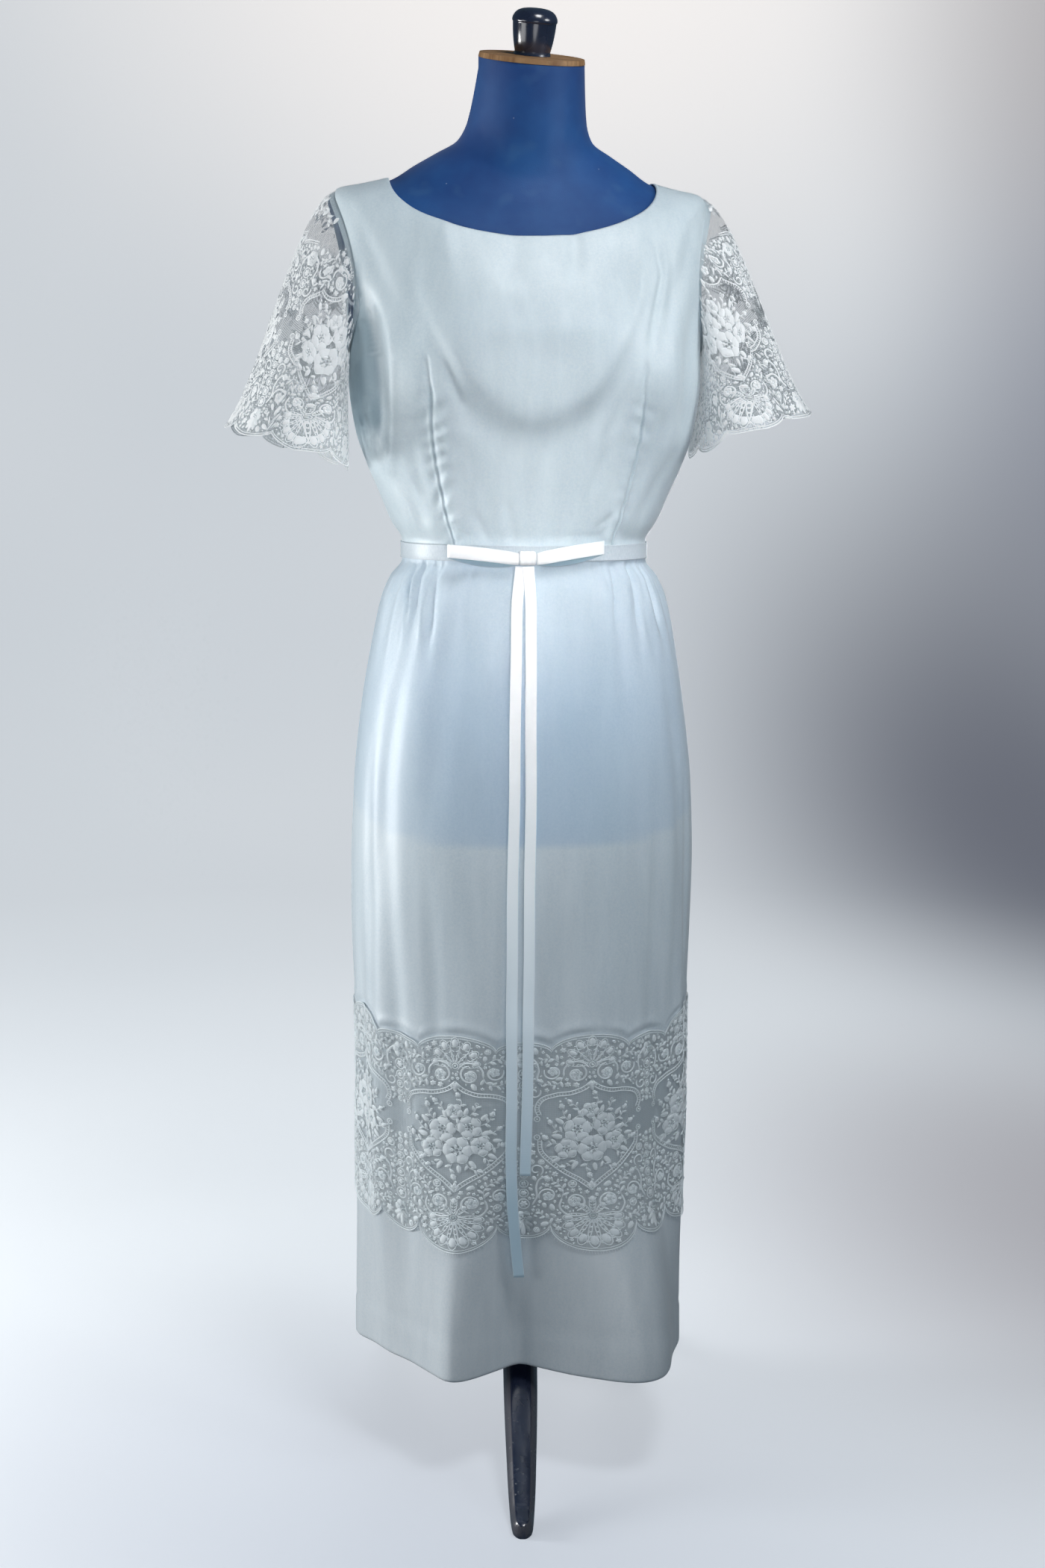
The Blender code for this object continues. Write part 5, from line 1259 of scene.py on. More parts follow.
class LaceWork:
    """The raised work of one repeat, and a map of the ground that it has taken."""

    def __init__(self):
        self.points, self.faces, self.count = [], [], 0
        self.taken = np.zeros((int(2 * FIELD_HALF / CELL), int(FIELD_HEIGHT / CELL)), bool)

    def add(self, points, faces):
        self.points.append(points.reshape(-1, 3))
        self.faces.append([tuple(int(i) + self.count for i in face) for face in faces])
        self.count += len(self.points[-1])

    def window(self, x, y, radius):
        reach = int(radius / CELL) + 1
        i, j = int((x + FIELD_HALF) / CELL), int((y - FIELD_LOW) / CELL)
        span = np.arange(-reach, reach + 1)
        inside = (span[:, None] ** 2 + span[None, :] ** 2) * CELL**2 <= radius**2
        across, up = (np.clip(k + span, 0, size - 1) for k, size in zip((i, j), self.taken.shape))
        return np.ix_(across, up), inside

    def mark(self, line, radius):
        for x, y in line:
            place, inside = self.window(x, y, radius)
            self.taken[place] |= inside

    def free(self, x, y, radius):
        place, inside = self.window(x, y, radius)
        return not (self.taken[place] & inside).any()

    def cord(self, line, width=1.1, height=0.9, closed=False, taper=0.35):
        """A raised cord along a line, low and rounded."""
        height = min(height, 0.36 * width) + 0.35 * max(0.0, height - 0.9)
        line = np.asarray(line, float)
        side = sideways(line, closed)
        half = np.full(len(line), width / 2)
        if not closed:
            half[0] = half[-1] = width / 2 * taper
        offsets, heights = np.array([1.0, 0.0, -1.0]), np.array([0.0, height, 0.0])
        flat = line[:, None, :] + side[:, None, :] * (half[:, None] * offsets)[..., None]
        points = np.concatenate([flat, np.broadcast_to(heights[:, None], (len(line), 3, 1))], -1)
        faces = grid_faces(len(line), 3)[:, ::-1]
        if closed:
            last = 3 * (len(line) - 1)
            faces = np.concatenate([faces, [[i, last + i, last + i + 1, i + 1][::-1] for i in range(2)]])
        self.add(points, faces)
        self.mark(line, width / 2 + 0.35)

    def petal(self, x, y, angle, length, width, height=0.9, broad=0.5, cup=0.45, sides=8):
        """A petal or leaf that grows from (x, y). broad is where it is widest: 0 its root, 1 its tip."""
        turn = np.arange(sides) * 2 * math.pi / sides
        along = (1 - np.cos(turn)) / 2
        swell = np.sin(turn) * (1 + (broad - 0.5) * 1.6 * (2 * along - 1))
        rings = []
        for scale, rise in ((1.0, 0.0), (0.70, height)):
            u, v = length * (0.52 + (along - 0.52) * scale), width / 2 * swell * scale
            rings.append(np.stack([*spot(x, y, angle, u, v), np.full(sides, rise)], -1))
        middle = np.array([[*spot(x, y, angle, 0.52 * length), height * cup]])
        self.add(np.concatenate([*rings, middle]), domed_faces(sides))
        self.mark(rings[0][:, :2], 0.6)
        self.mark([spot(x, y, angle, length * t) for t in (0.2, 0.5, 0.8)], width * 0.42)

    def ring(self, x, y, radius, width=0.9, height=0.85):
        self.cord(circle(x, y, radius), width, height, closed=True)

    def dot(self, x, y, radius, height=0.8):
        self.petal(x - radius, y, 0.0, 2 * radius, 2 * radius, height, cup=1.15, sides=6)

    def thread(self, x, y, angle, length, width=0.35):
        self.cord([(x, y), spot(x, y, angle, length)], width, 0.35, taper=0.8)

    def vine(self, points):
        """A heavy cord that flows through the points."""
        self.cord(flowing(points), 1.9, 1.1)

    def leaf(self, x, y, angle, length, width):
        """A leaf with a raised midrib."""
        self.petal(x, y, angle, length, width, 0.75, broad=0.36, cup=0.55, sides=9)
        self.cord([spot(x, y, angle, t * length) for t in (0.05, 0.5, 0.92)], 0.7, 1.15)

    def rose(self, x, y, radius, petals=5, turn=20.0):
        """An open flower: outlined petals round a small eye of net."""
        for k in range(petals):
            angle = turn + 360.0 * k / petals
            self.petal(*spot(x, y, angle, 0.30 * radius), angle, radius * 0.68,
                       radius * 0.98 * 5 / petals**0.98, 0.85, broad=0.70, cup=0.30, sides=9)
            rim = radius * 0.41 * (5 / petals) ** 0.7
            self.cord(circle(*spot(x, y, angle, radius * 0.66), rim, angle - 118, 236, 1.8), 0.9, 1.35)
            self.cord([spot(x, y, angle, radius * t) for t in (0.42, 0.74)], 0.5, 1.0)
        for k in range(5):
            angle = turn + 36 + 72.0 * k
            self.petal(*spot(x, y, angle, 0.17 * radius), angle, radius * 0.25, radius * 0.26, 1.25,
                       broad=0.65, sides=6)
        self.ring(x, y, radius * 0.15, 0.7, 1.3)
        self.mark([(x, y)], radius * 0.9)

    def star(self, x, y, radius, turn, lobes=5):
        """A small flower in one piece."""
        count = 3 * lobes
        at = np.radians(turn + np.arange(count) * 120.0 / lobes)
        reach = radius * np.where(np.arange(count) % 3, 1.0, 0.62)
        rings = [np.stack([x + scale * reach * np.cos(at), y + scale * reach * np.sin(at), 0 * at + rise], -1)
                 for scale, rise in ((1.0, 0.0), (0.62, 0.95))]
        faces = [face[::-1] for face in domed_faces(count)]
        self.add(np.concatenate([*rings, [[x, y, 0.25]]]), faces)
        self.mark([(x, y)], radius)

    def bud(self, x, y, angle, size):
        """A closed bud between two small leaves."""
        self.petal(x, y, angle, size, size * 0.62, 1.1, broad=0.55, cup=1.1)
        for lean in (-34, 34):
            self.petal(x, y, angle + lean, size * 0.72, size * 0.30, 0.8, broad=0.4)
        self.dot(*spot(x, y, angle, size * 1.22), size * 0.13 + 0.35)

    def spray(self, points, leaf=5.0, gap=5.5, end="bud"):
        """A stem with leaves on alternate sides, and something at its tip."""
        line = flowing(points)
        self.cord(line, 0.9, 0.9)
        length = lengths_along(line)
        ahead = np.degrees(np.arctan2(*np.gradient(line, axis=0).T[::-1]))
        for k, at in enumerate(np.arange(gap, length[-1] - 1.0, gap)):
            i = int(np.searchsorted(length, at)) - 1
            side = 1 if k % 2 else -1
            size = leaf * (1 - 0.35 * at / length[-1])
            self.petal(line[i, 0], line[i, 1], ahead[i] + side * 52, size, size * 0.46, 0.8, broad=0.45)
        if end == "bud":
            self.bud(line[-1, 0], line[-1, 1], ahead[-1], leaf * 0.95)
        elif end == "curl":
            self.ring(line[-1, 0], line[-1, 1], 1.5)

    def scroll(self, x, y, radius, start, sweep, inner=0.25, width=1.8):
        """A cord that winds in on itself."""
        count = int(radius * math.radians(abs(sweep)) * 0.7 / 1.6) + 6
        share = np.linspace(0, 1, count)
        turn = np.radians(start + sweep * share)
        reach = radius * (1 - (1 - inner) * share**1.2)
        self.cord(np.stack([x + reach * np.cos(turn), y + reach * np.sin(turn)], -1), width, 1.1)

    def ladder(self, points, depth=3.6, gap=2.9):
        """Two cords side by side with rungs between them."""
        line = flowing(points)
        other = line + sideways(line) * depth
        self.cord(line, 1.3, 1.1)
        self.cord(other, 1.3, 1.1)
        length = lengths_along(line)
        for at in np.arange(1.5, length[-1] - 1.0, gap):
            a = [np.interp(at, length, line[:, k]) for k in (0, 1)]
            b = [np.interp(at, length, other[:, k]) for k in (0, 1)]
            self.cord([a, b], 0.9, 0.8, taper=1.0)
        self.mark((line + other) / 2, depth / 2)
        return line, other


def lobe_at(x):
    return band_lobe(LOBE_ANGLE + x * REPEAT_TURN / REPEAT)


def low_edge(x):
    return -1000 * BAND_BOTTOM_LOBE * lobe_at(x)


def high_edge(x):
    return BAND_HEIGHT + 1000 * BAND_TOP_LOBE * lobe_at(x)


TOP_ARCH = [
    (-50.0, 119.0), (-52.5, 128.0), (-47.0, 138.0), (-34.0, 142.5), (-20.0, 143.5), (-8.0, 148.0),
    (0.0, 155.0),
]
LOW_ARCH = [(-50.0, 94.0), (-48.5, 81.0), (-38.0, 68.5), (-26.0, 58.0), (-12.0, 48.5), (0.0, 38.5)]


def mirrored(points, side):
    return [(side * x, y) for x, y in points]


def draw_cartouche(work):
    for side in (-1, 1):
        work.ladder(mirrored(TOP_ARCH, -side), 3.6 * side)
        work.ladder(mirrored(LOW_ARCH, -side), -3.6 * side)
        work.ring(side * 50.5, 116.2, 2.6, 1.2)
        work.ring(side * 50.5, 97.0, 2.6, 1.2)
        work.dot(side * 50.5, 116.2, 0.9)
        work.dot(side * 50.5, 97.0, 0.9)
    for angle, length in ((-90, 9.0), (-128, 6.5), (-52, 6.5)):
        work.petal(0.0, 153.5, angle, length, 4.2, 1.1, broad=0.6)
    for angle, length in ((90, 8.0), (126, 5.6), (54, 5.6)):
        work.petal(0.0, 40.5, angle, length, 3.8, 1.1, broad=0.6)


BOUQUET = [(-13.0, 103.5, 13.0, 5, 10.0), (13.0, 107.5, 11.5, 5, 40.0), (1.5, 82.5, 14.5, 6, 0.0),
           (23.5, 88.0, 10.0, 5, 70.0), (-23.0, 83.5, 10.5, 5, 25.0), (-1.0, 123.0, 8.0, 5, 55.0)]
SPRAYS = [
    [(-20, 112), (-25, 118), (-27, 125)], [(-10, 118), (-13, 126), (-18, 131)],
    [(4, 128), (6, 133), (4, 138)], [(14, 120), (19, 126), (20, 132)], [(24, 110), (30, 113), (33, 119)],
    [(25, 99), (32, 101), (38, 105)], [(33, 88), (37, 86), (41, 88)], [(25, 77), (30, 73), (31, 68)],
    [(10, 69), (14, 64), (20, 62)], [(-3, 68), (-5, 62), (-3, 57)], [(-14, 72), (-18, 66), (-24, 65)],
    [(-30, 77), (-34, 73), (-38, 75)], [(-31, 90), (-37, 90), (-41, 94)],
    [(-26, 101), (-33, 104), (-37, 110)],
]
LEAVES = [
    (-27, 96, 165, 11), (24, 100, 20, 11), (13, 72, -50, 10), (-13, 70, 240, 10), (-8, 116, 120, 9),
    (9, 119, 75, 9), (30, 80, -35, 10), (-29, 75, 215, 10), (-26, 110, 140, 10), (24, 115, 50, 9),
    (3, 67, -80, 9), (34, 94, 0, 9),
]


def draw_bouquet(work):
    for x, y, radius, petals, turn in BOUQUET:
        work.rose(x, y, radius, petals, turn)
    for x, y, angle, length in LEAVES:
        work.leaf(x, y, angle, length, length * 0.50)
    for k, path in enumerate(SPRAYS):
        work.spray(path, 6.8 if k % 3 else 7.6, 3.6, "curl" if k % 4 == 3 else "bud")
    for x, y, angle in ((-1, 100, 90), (12, 94, 60), (-12, 90, 120), (3, 110, 100), (-24, 93, 60)):
        work.leaf(x, y, angle, 6.5, 3.4)


def draw_palmette(work, x, y, up, reach, petals, spread):
    """A fan of long petals, each outlined round an open eye."""
    root, turn = 4.0, np.linspace(-math.pi, math.pi, 18)
    along = (1 + np.cos(turn)) / 2
    for k in range(petals):
        lean = (k - (petals - 1) / 2) / ((petals - 1) / 2)
        angle = 90 * up + lean * spread
        length = reach * (1 - 0.20 * abs(lean) ** 1.5)
        wide = length * 0.36
        swell = np.sin(turn) * (0.62 + 0.38 * along) * wide / 2
        outline = np.stack(spot(x, y, angle, root + along * (length - root), swell), -1)
        work.cord(outline[:-1], 0.9, 1.25, closed=True)
        work.petal(*spot(x, y, angle, root + 0.50 * length), angle, length * 0.30, wide * 0.62, 0.9)
        for side in (-1, 1):
            for j in range(5):
                out, aside = root + (0.10 + 0.155 * j) * length, side * wide * (0.10 + 0.05 * j)
                ends = [spot(x, y, angle, out - 1.6, aside * 0.40), spot(x, y, angle, out, aside * 1.8)]
                work.cord(ends, 1.25, 0.8, taper=0.8)
        work.mark([spot(x, y, angle, t * length) for t in (0.4, 0.6, 0.8)], wide * 0.5)
    work.ring(x, y, 2.7, 1.2, 1.3)
    work.dot(x, y, 1.2, 1.2)


def draw_side_flowers(work, sizes):
    """Rings with a small flower in each, one above the other on the line between two repeats."""
    for y, radius in sizes:
        for x in (-HALF, HALF):
            work.ring(x, y, radius, 1.2)
            work.star(x, y, radius * 0.72, y, 6)


def draw_top_border(work):
    draw_palmette(work, 0.0, 171.0, 1, 30.0, 7, 82.0)
    for side in (-1, 1):
        work.scroll(side * 14.0, 162.0, 9.5, 90 + side * 10, side * 430)
        work.rose(side * 14.0, 161.0, 5.0, 5, 12.0)
        work.vine(mirrored([(3.0, 168.0), (9.0, 173.5), (18.0, 174.0), (25.0, 168.0), (26.0, 160.0)], side))
        work.spray(mirrored([(26.0, 160.0), (30.0, 153.0), (38.0, 151.0), (45.0, 154.0)], side), 7.4, 3.4)
        work.scroll(side * 36.0, 165.0, 8.5, 90 - side * 70, -side * 400)
        work.rose(side * 36.0, 165.5, 4.4, 5, 40.0)
        work.spray(mirrored([(30.0, 175.0), (37.0, 179.0), (45.0, 178.0), (51.0, 172.0)], side), 7.0, 3.4,
                   "curl")
        work.vine(mirrored([(46.0, 150.0), (50.5, 158.0), (49.0, 167.0), (52.0, 176.0), (57.5, 181.0)], side))
        work.scroll(side * 53.0, 144.0, 6.0, 90 + side * 60, side * 380)
    work.rose(HALF, 178.0, 8.0, 6, 0.0)
    work.rose(-HALF, 178.0, 8.0, 6, 0.0)
    draw_side_flowers(work, [(163.0, 5.2), (151.5, 4.2), (141.5, 3.6), (133.0, 3.0), (126.0, 2.4)])


def draw_low_border(work):
    draw_palmette(work, 0.0, 12.0, -1, 33.0, 9, 86.0)
    draw_palmette(work, 0.0, 12.0, 1, 20.0, 3, 40.0)
    for side in (-1, 1):
        work.scroll(side * 15.5, 27.0, 9.5, -90 - side * 10, -side * 430)
        work.rose(side * 15.5, 27.5, 5.2, 5, 30.0)
        work.vine(mirrored([(4.0, 14.0), (13.0, 12.0), (23.0, 14.0), (29.0, 22.0), (27.0, 31.0)], side))
        work.spray(mirrored([(27.0, 32.0), (26.0, 40.0), (31.0, 47.0), (38.0, 51.0)], side), 7.4, 3.4)
        work.scroll(side * 40.0, 34.0, 8.5, -90 + side * 70, side * 400)
        work.rose(side * 40.0, 33.5, 4.4, 5, 10.0)
        work.spray(mirrored([(30.0, 12.0), (37.0, 9.5), (44.0, 12.0), (49.0, 18.0)], side), 7.0, 3.4, "curl")
        work.vine(mirrored([(40.0, 56.0), (48.0, 52.0), (51.0, 43.0), (50.0, 33.0), (54.0, 24.0)], side))
        work.scroll(side * 51.0, 62.0, 6.5, -90 - side * 40, -side * 380)
    for x in (-HALF, HALF):
        work.rose(x, 8.0, 8.4, 6, 0.0)
        for k in range(5):
            work.petal(x, 4.0, -90 + (k - 2) * 32, 15.0 - 2.2 * abs(k - 2), 5.0, 1.0, broad=0.62)
    draw_side_flowers(work, [(24.5, 5.4), (36.5, 4.4), (47.0, 4.0), (56.5, 3.6), (65.5, 3.4), (74.0, 3.0),
                             (81.5, 2.6), (88.0, 2.2)])


def draw_edges(work):
    xs = np.arange(-HALF, HALF + 0.1, 1.25)
    for edge, inward in ((low_edge, 1), (high_edge, -1)):
        for inset, width in ((1.0, 1.2), (3.4, 0.8)):
            work.cord(np.stack([xs, edge(xs) + inward * inset], -1), width, 1.0, taper=1.0)
    random = np.random.default_rng(31)
    for x in np.arange(-61.5, 62.0, 2.1):
        slope = (low_edge(x + 0.5) - low_edge(x - 0.5))
        across = math.degrees(math.atan2(-1.0, slope * 0.8))
        work.thread(x, float(low_edge(x)) + 0.6, across + random.uniform(-18, 18), random.uniform(1.6, 3.4))


ARCH_MARGIN, EDGE_MARGIN = 4.5, 4.0


def arch_height(reach, arch):
    return np.interp(reach, [-x for x, _ in arch[::-1]], [y for _, y in arch[::-1]])


def in_border(x, y):
    """True where the ground between the edges and the cartouches is filled with small work."""
    reach = abs(x)
    if reach > 51.0:
        inside_top, inside_low = y > 123.0, y < 89.0
    else:
        inside_top = y > arch_height(reach, TOP_ARCH[2:]) + ARCH_MARGIN
        inside_low = y < arch_height(reach, LOW_ARCH) - ARCH_MARGIN
    return (inside_top and y < high_edge(x) - EDGE_MARGIN) or (inside_low and y > low_edge(x) + EDGE_MARGIN)


def draw_filling(work):
    random = np.random.default_rng(77)
    for radius, tries in ((5.4, 500), (4.2, 900), (3.2, 1500), (2.5, 2500), (1.9, 3500), (1.35, 5000)):
        for _ in range(tries):
            x, y = random.uniform(-62, 62), random.uniform(-22, 203)
            kind, turn = random.integers(4), random.uniform(0, 360)
            if not in_border(x, y) or not work.free(x, y, radius + 0.1):
                continue
            if radius > 2.8 and (kind == 0 or radius > 5):
                work.ring(x, y, radius - 0.7, 1.5)
                work.star(x, y, radius * 0.64, turn)
            elif radius > 1.6 and kind < 3:
                work.star(x, y, radius, turn, 5 + kind % 2)
            elif radius > 1.6:
                work.petal(*spot(x, y, turn, -radius), turn, 2 * radius, radius * 1.25, 0.95, broad=0.42)
            else:
                work.petal(*spot(x, y, turn, -1.3), turn, 2.6, 1.7, 0.75, sides=6)
            work.mark([(x, y)], radius * 0.94)


def lace_repeat():
    work = LaceWork()
    draw_cartouche(work)
    draw_bouquet(work)
    draw_top_border(work)
    draw_low_border(work)
    draw_edges(work)
    draw_filling(work)
    # A flower on the line between two repeats is drawn at both ends, and its copy at -x is left out
    points, faces, count, start = [], [], 0, 0
    for chunk, quads in zip(work.points, work.faces):
        if chunk[:, 0].mean() >= -HALF + 0.01:
            points.append(chunk)
            faces.append(shifted(quads, count - start))
            count += len(chunk)
        start += len(chunk)
    return points, faces


def lace_mesh(name, chunks, faces, place):
    """The drawn repeats laid on a surface: place turns their points into points in space."""
    flat = np.concatenate(chunks)
    owner = np.repeat(np.arange(len(chunks)), [len(chunk) for chunk in chunks])
    points, inside = place(flat)
    whole = np.bincount(owner, inside, len(chunks)) == np.bincount(owner, minlength=len(chunks))
    used, quads, count, starts = [], [], 0, np.cumsum([0] + [len(chunk) for chunk in chunks])
    for k, piece in enumerate(faces):
        if whole[k]:
            used.append(points[starts[k]:starts[k + 1]])
            quads += shifted(piece, count - int(starts[k]))
            count += len(chunks[k])
    return make_mesh(name, placed(np.concatenate(used)), quads, angle=75.0)


def repeated(points, faces, shifts):
    """Copies of the drawn repeat, side by side."""
    count = sum(len(chunk) for chunk in points)
    many, quads = [], []
    for k, shift in enumerate(shifts):
        many += [chunk + [shift, 0.0, 0.0] for chunk in points]
        quads += [shifted(piece, k * count) for piece in faces]
    return many, quads


def band_height(angle, y):
    return BAND_BOTTOM + band_rise(angle) + y / 1000


def band_lift(angle, y):
    """How far the net stands off the skirt: a little more along its scalloped edges, and unevenly."""
    x = repeat_x(angle - LOBE_ANGLE)
    turn = np.radians(angle)
    loose = 0.55 + 0.45 * np.sin(13 * turn + 1.0) * np.sin(5 * turn + 2.0)
    low = step((low_edge(x) + 14.0 - y) / 14.0)
    high = step((y - high_edge(x) + 8.0) / 8.0)
    return 0.0013 + 0.0016 * loose * low + 0.0009 * (1 - 0.6 * loose) * high


def on_band(flat):
    angle = apart(LOBE_ANGLE + flat[:, 0] * REPEAT_TURN / REPEAT, 0.0)
    lift = band_lift(angle, flat[:, 1]) + flat[:, 2] / 1000
    return draped_point(angle, band_height(angle, flat[:, 1]), lift), np.ones(len(flat))


def hem_pull(y):
    return 1 - step((y - PULL_START) / PULL_REACH)


class SleeveMap:
    """Where a place on the flat lace lies on a sleeve, by distance up from its scalloped hem."""

    def __init__(self, side):
        self.side = side
        self.turns, shares = np.arange(0.0, 361.0, TABLE_TURN), np.linspace(1.0, 0.0, 61)
        grid = sleeve_point(side, self.turns[:, None], shares[None, :], SLEEVE_EDGE)
        steps = np.linalg.norm(np.diff(grid, axis=1), axis=-1)
        length = np.concatenate([np.zeros((len(self.turns), 1)), np.cumsum(steps, 1)], 1) * 1000
        self.full, self.length, self.shares = length[:, -1], length, shares
        self.steps = np.arange(0.0, 260.0, TABLE_STEP)
        self.table = np.array([np.interp(self.steps, row, shares) for row in length])

    def share(self, turn, distance):
        i = np.clip(turn % 360.0 / TABLE_TURN, 0, len(self.turns) - 1.001)
        j = np.clip(distance / TABLE_STEP, 0, len(self.steps) - 1.001)
        a, b = i.astype(int), j.astype(int)
        u, v = i - a, j - b
        t = self.table
        return ((1 - u) * (1 - v) * t[a, b] + u * (1 - v) * t[a + 1, b]
                + (1 - u) * v * t[a, b + 1] + u * v * t[a + 1, b + 1])

    def worked(self, turns, shares):
        """1 where the lace's borders fall on the sleeve, as in_border has them on the flat lace."""
        x = across_repeat(-self.side * turns * REPEAT / SLEEVE_TURN)
        rows = [self.length[int(round(t % 360.0 / TABLE_TURN))] for t in turns]
        distance = np.array([np.interp(-shares, -self.shares, row) for row in rows]).T
        y = distance - SLEEVE_DROP
        for _ in range(4):
            y = distance - SLEEVE_DROP + (low_edge(x) + SLEEVE_DROP) * hem_pull(y)
        return np.vectorize(in_border)(x, y).astype(float)

    def place(self, flat):
        turn = -self.side * flat[:, 0] * SLEEVE_TURN / REPEAT
        edge = low_edge(across_repeat(flat[:, 0]))
        distance = flat[:, 1] + SLEEVE_DROP + (-edge - SLEEVE_DROP) * hem_pull(flat[:, 1])
        full = np.interp(turn % 360.0, self.turns, self.full)
        share = self.share(turn, distance)
        return sleeve_surface(self.side, turn, share, 0.5 * flat[:, 2] / 1000), distance < full - 1.5


def sleeve_relief(side, turn, share):
    """Soft flutes that deepen towards the hem."""
    t = np.radians(turn)
    waves = np.sin(5 * t + side) + 0.6 * np.sin(9 * t + 2 + side) + 0.4 * np.sin(3 * t + 4 * share)
    return -0.0016 * step(share / 0.8) * waves * np.maximum(0.35, np.abs(np.cos(t / 2)))


def sleeve_surface(side, turn, share, lift=0.0):
    def plain(turns, shares):
        return sleeve_point(side, turns, shares, SLEEVE_EDGE)

    along = plain(turn, np.minimum(share + 0.01, 1.0)) - plain(turn, np.maximum(share - 0.01, 0.0))
    around = plain(turn + 1.0, share) - plain(turn - 1.0, share)
    out = unit(np.cross(around, along)) * side
    return plain(turn, share) + out * (sleeve_relief(side, turn, share) + lift)[..., None]


def make_lace_band(net_paint, thread_paint, points, faces):
    angles, share = cross(all_round(480), np.linspace(0, 1, 40))
    x = repeat_x(angles - LOBE_ANGLE)
    low, high = low_edge(x) + 0.6, high_edge(x) - 0.6
    y = low + (high - low) * share
    grid = draped_point(angles, band_height(angles, y), band_lift(angles, y))
    uv = np.stack([angles / 360 * REPEATS * (REPEAT / 1000), y / 1000], -1)
    dense = np.vectorize(in_border)(x, y).astype(float)
    ground = cloth_grid("gown_lace_band", grid, uv, net_paint, "lace_band", closed=True,
                        tints={"dense": dense})
    works = []
    for name, shifts in (("front", (-2, -1, 0, 1)), ("back", (2, 3, 4, 5))):
        many, quads = repeated(points, faces, [REPEAT * k for k in shifts])
        mesh = lace_mesh("gown_lace_work_" + name, many, quads, on_band)
        works.append(add_piece("gown_lace_work_" + name, mesh, thread_paint))
    return ground, works


def make_sleeve(side, net_paint, thread_paint, satin_paint, points, faces):
    turns, share = cross(all_round(288), np.linspace(0, 1, 44))
    grid = sleeve_surface(side, turns, share)
    uv = np.stack([turns / 360 * SLEEVE_ROUND, (1 - share) * SLEEVE_DEEP], -1)
    lay = SleeveMap(side)
    dense = lay.worked(turns[0], share[:, 0])
    if side < 0:
        grid, uv, dense = grid[:, ::-1], uv[:, ::-1], dense[:, ::-1]
    node = "sleeve_" + SIDES[side]
    ground = cloth_grid("gown_" + node, grid, uv, net_paint, node, closed=True,
                        tints={"dense": dense})
    turns_of_lace = [REPEAT * k for k in range(4)]
    many, quads = repeated(points, faces, turns_of_lace)
    # Above the first row the same flowers go on to the armhole, half a repeat along
    upper = [k for k, chunk in enumerate(points) if chunk[:, 1].min() > UPPER_FROM]
    more = [points[k] + [HALF, UPPER_SHIFT, 0.0] for k in upper]
    starts = np.cumsum([0] + [len(chunk) for chunk in points])
    counts = np.cumsum([0] + [len(chunk) for chunk in more])
    moved = [shifted(faces[k], int(counts[n] - starts[k])) for n, k in enumerate(upper)]
    above, above_quads = repeated(more, moved, turns_of_lace)
    total = sum(len(chunk) for chunk in many)
    many += above
    quads += [shifted(piece, total) for piece in above_quads]
    mesh = lace_mesh("gown_" + node + "_work", many, quads, lay.place)
    work = add_piece("gown_" + node + "_work", mesh, thread_paint)
    return ground, work, make_armhole_binding(side, satin_paint)


def make_armhole_binding(side, paint):
    """The seam allowances round an armhole, bound with a strip of satin and pressed towards the sleeve."""
    turns, share = cross(all_round(180), np.array([0.0, 0.0, 0.013, 0.026, 0.039, 0.052]))
    grid = sleeve_surface(side, turns, share, -0.0009)
    around, up = np.sin(np.radians(turns[0])), np.cos(np.radians(turns[0]))
    wider = np.where(around > 0, ARMHOLE_FRONT, ARMHOLE_BACK) + 2.0
    height = ARMHOLE_MIDDLE + (ARMHOLE_HALF + 0.004) * up
    grid[0] = gown_point(side * (90.0 - wider * around), height, -0.0030)
    uv = np.stack([turns / 360 * BINDING_ROUND, share * SLEEVE_DEEP], -1)
    if side < 0:
        grid, uv = grid[:, ::-1], uv[:, ::-1]
    return cloth_grid("gown_armhole_binding_" + SIDES[side], grid, uv, paint, closed=True)


# The room, the camera and the lights
FOCAL_PIXELS, FRAME_PIXELS, SENSOR = 2930, 2100, 36.0
CAMERA_FAR, CAMERA_HEIGHT, CAMERA_TURN, CAMERA_TIP, CAMERA_ROLL = 2.30, 1.085, -7.0, 90 - 9.1, 0.35


def make_camera():
    data = bpy.data.cameras.new("camera")
    data.sensor_width, data.lens = SENSOR, FOCAL_PIXELS / FRAME_PIXELS * SENSOR
    camera = bpy.data.objects.new("camera", data)
    turn, tip, roll = (math.radians(angle) for angle in (CAMERA_TURN, CAMERA_TIP, CAMERA_ROLL))
    x, y = math.sin(turn) * CAMERA_FAR + POLE[0], -math.cos(turn) * CAMERA_FAR + POLE[1]
    camera.location = (x, y, CAMERA_HEIGHT)
    swing, tipped = Matrix.Rotation(turn, 4, "Z"), Matrix.Rotation(tip, 4, "X")
    camera.rotation_euler = (swing @ tipped @ Matrix.Rotation(roll, 4, "Z")).to_euler()
    bpy.context.scene.collection.objects.link(camera)
    bpy.context.scene.camera = camera


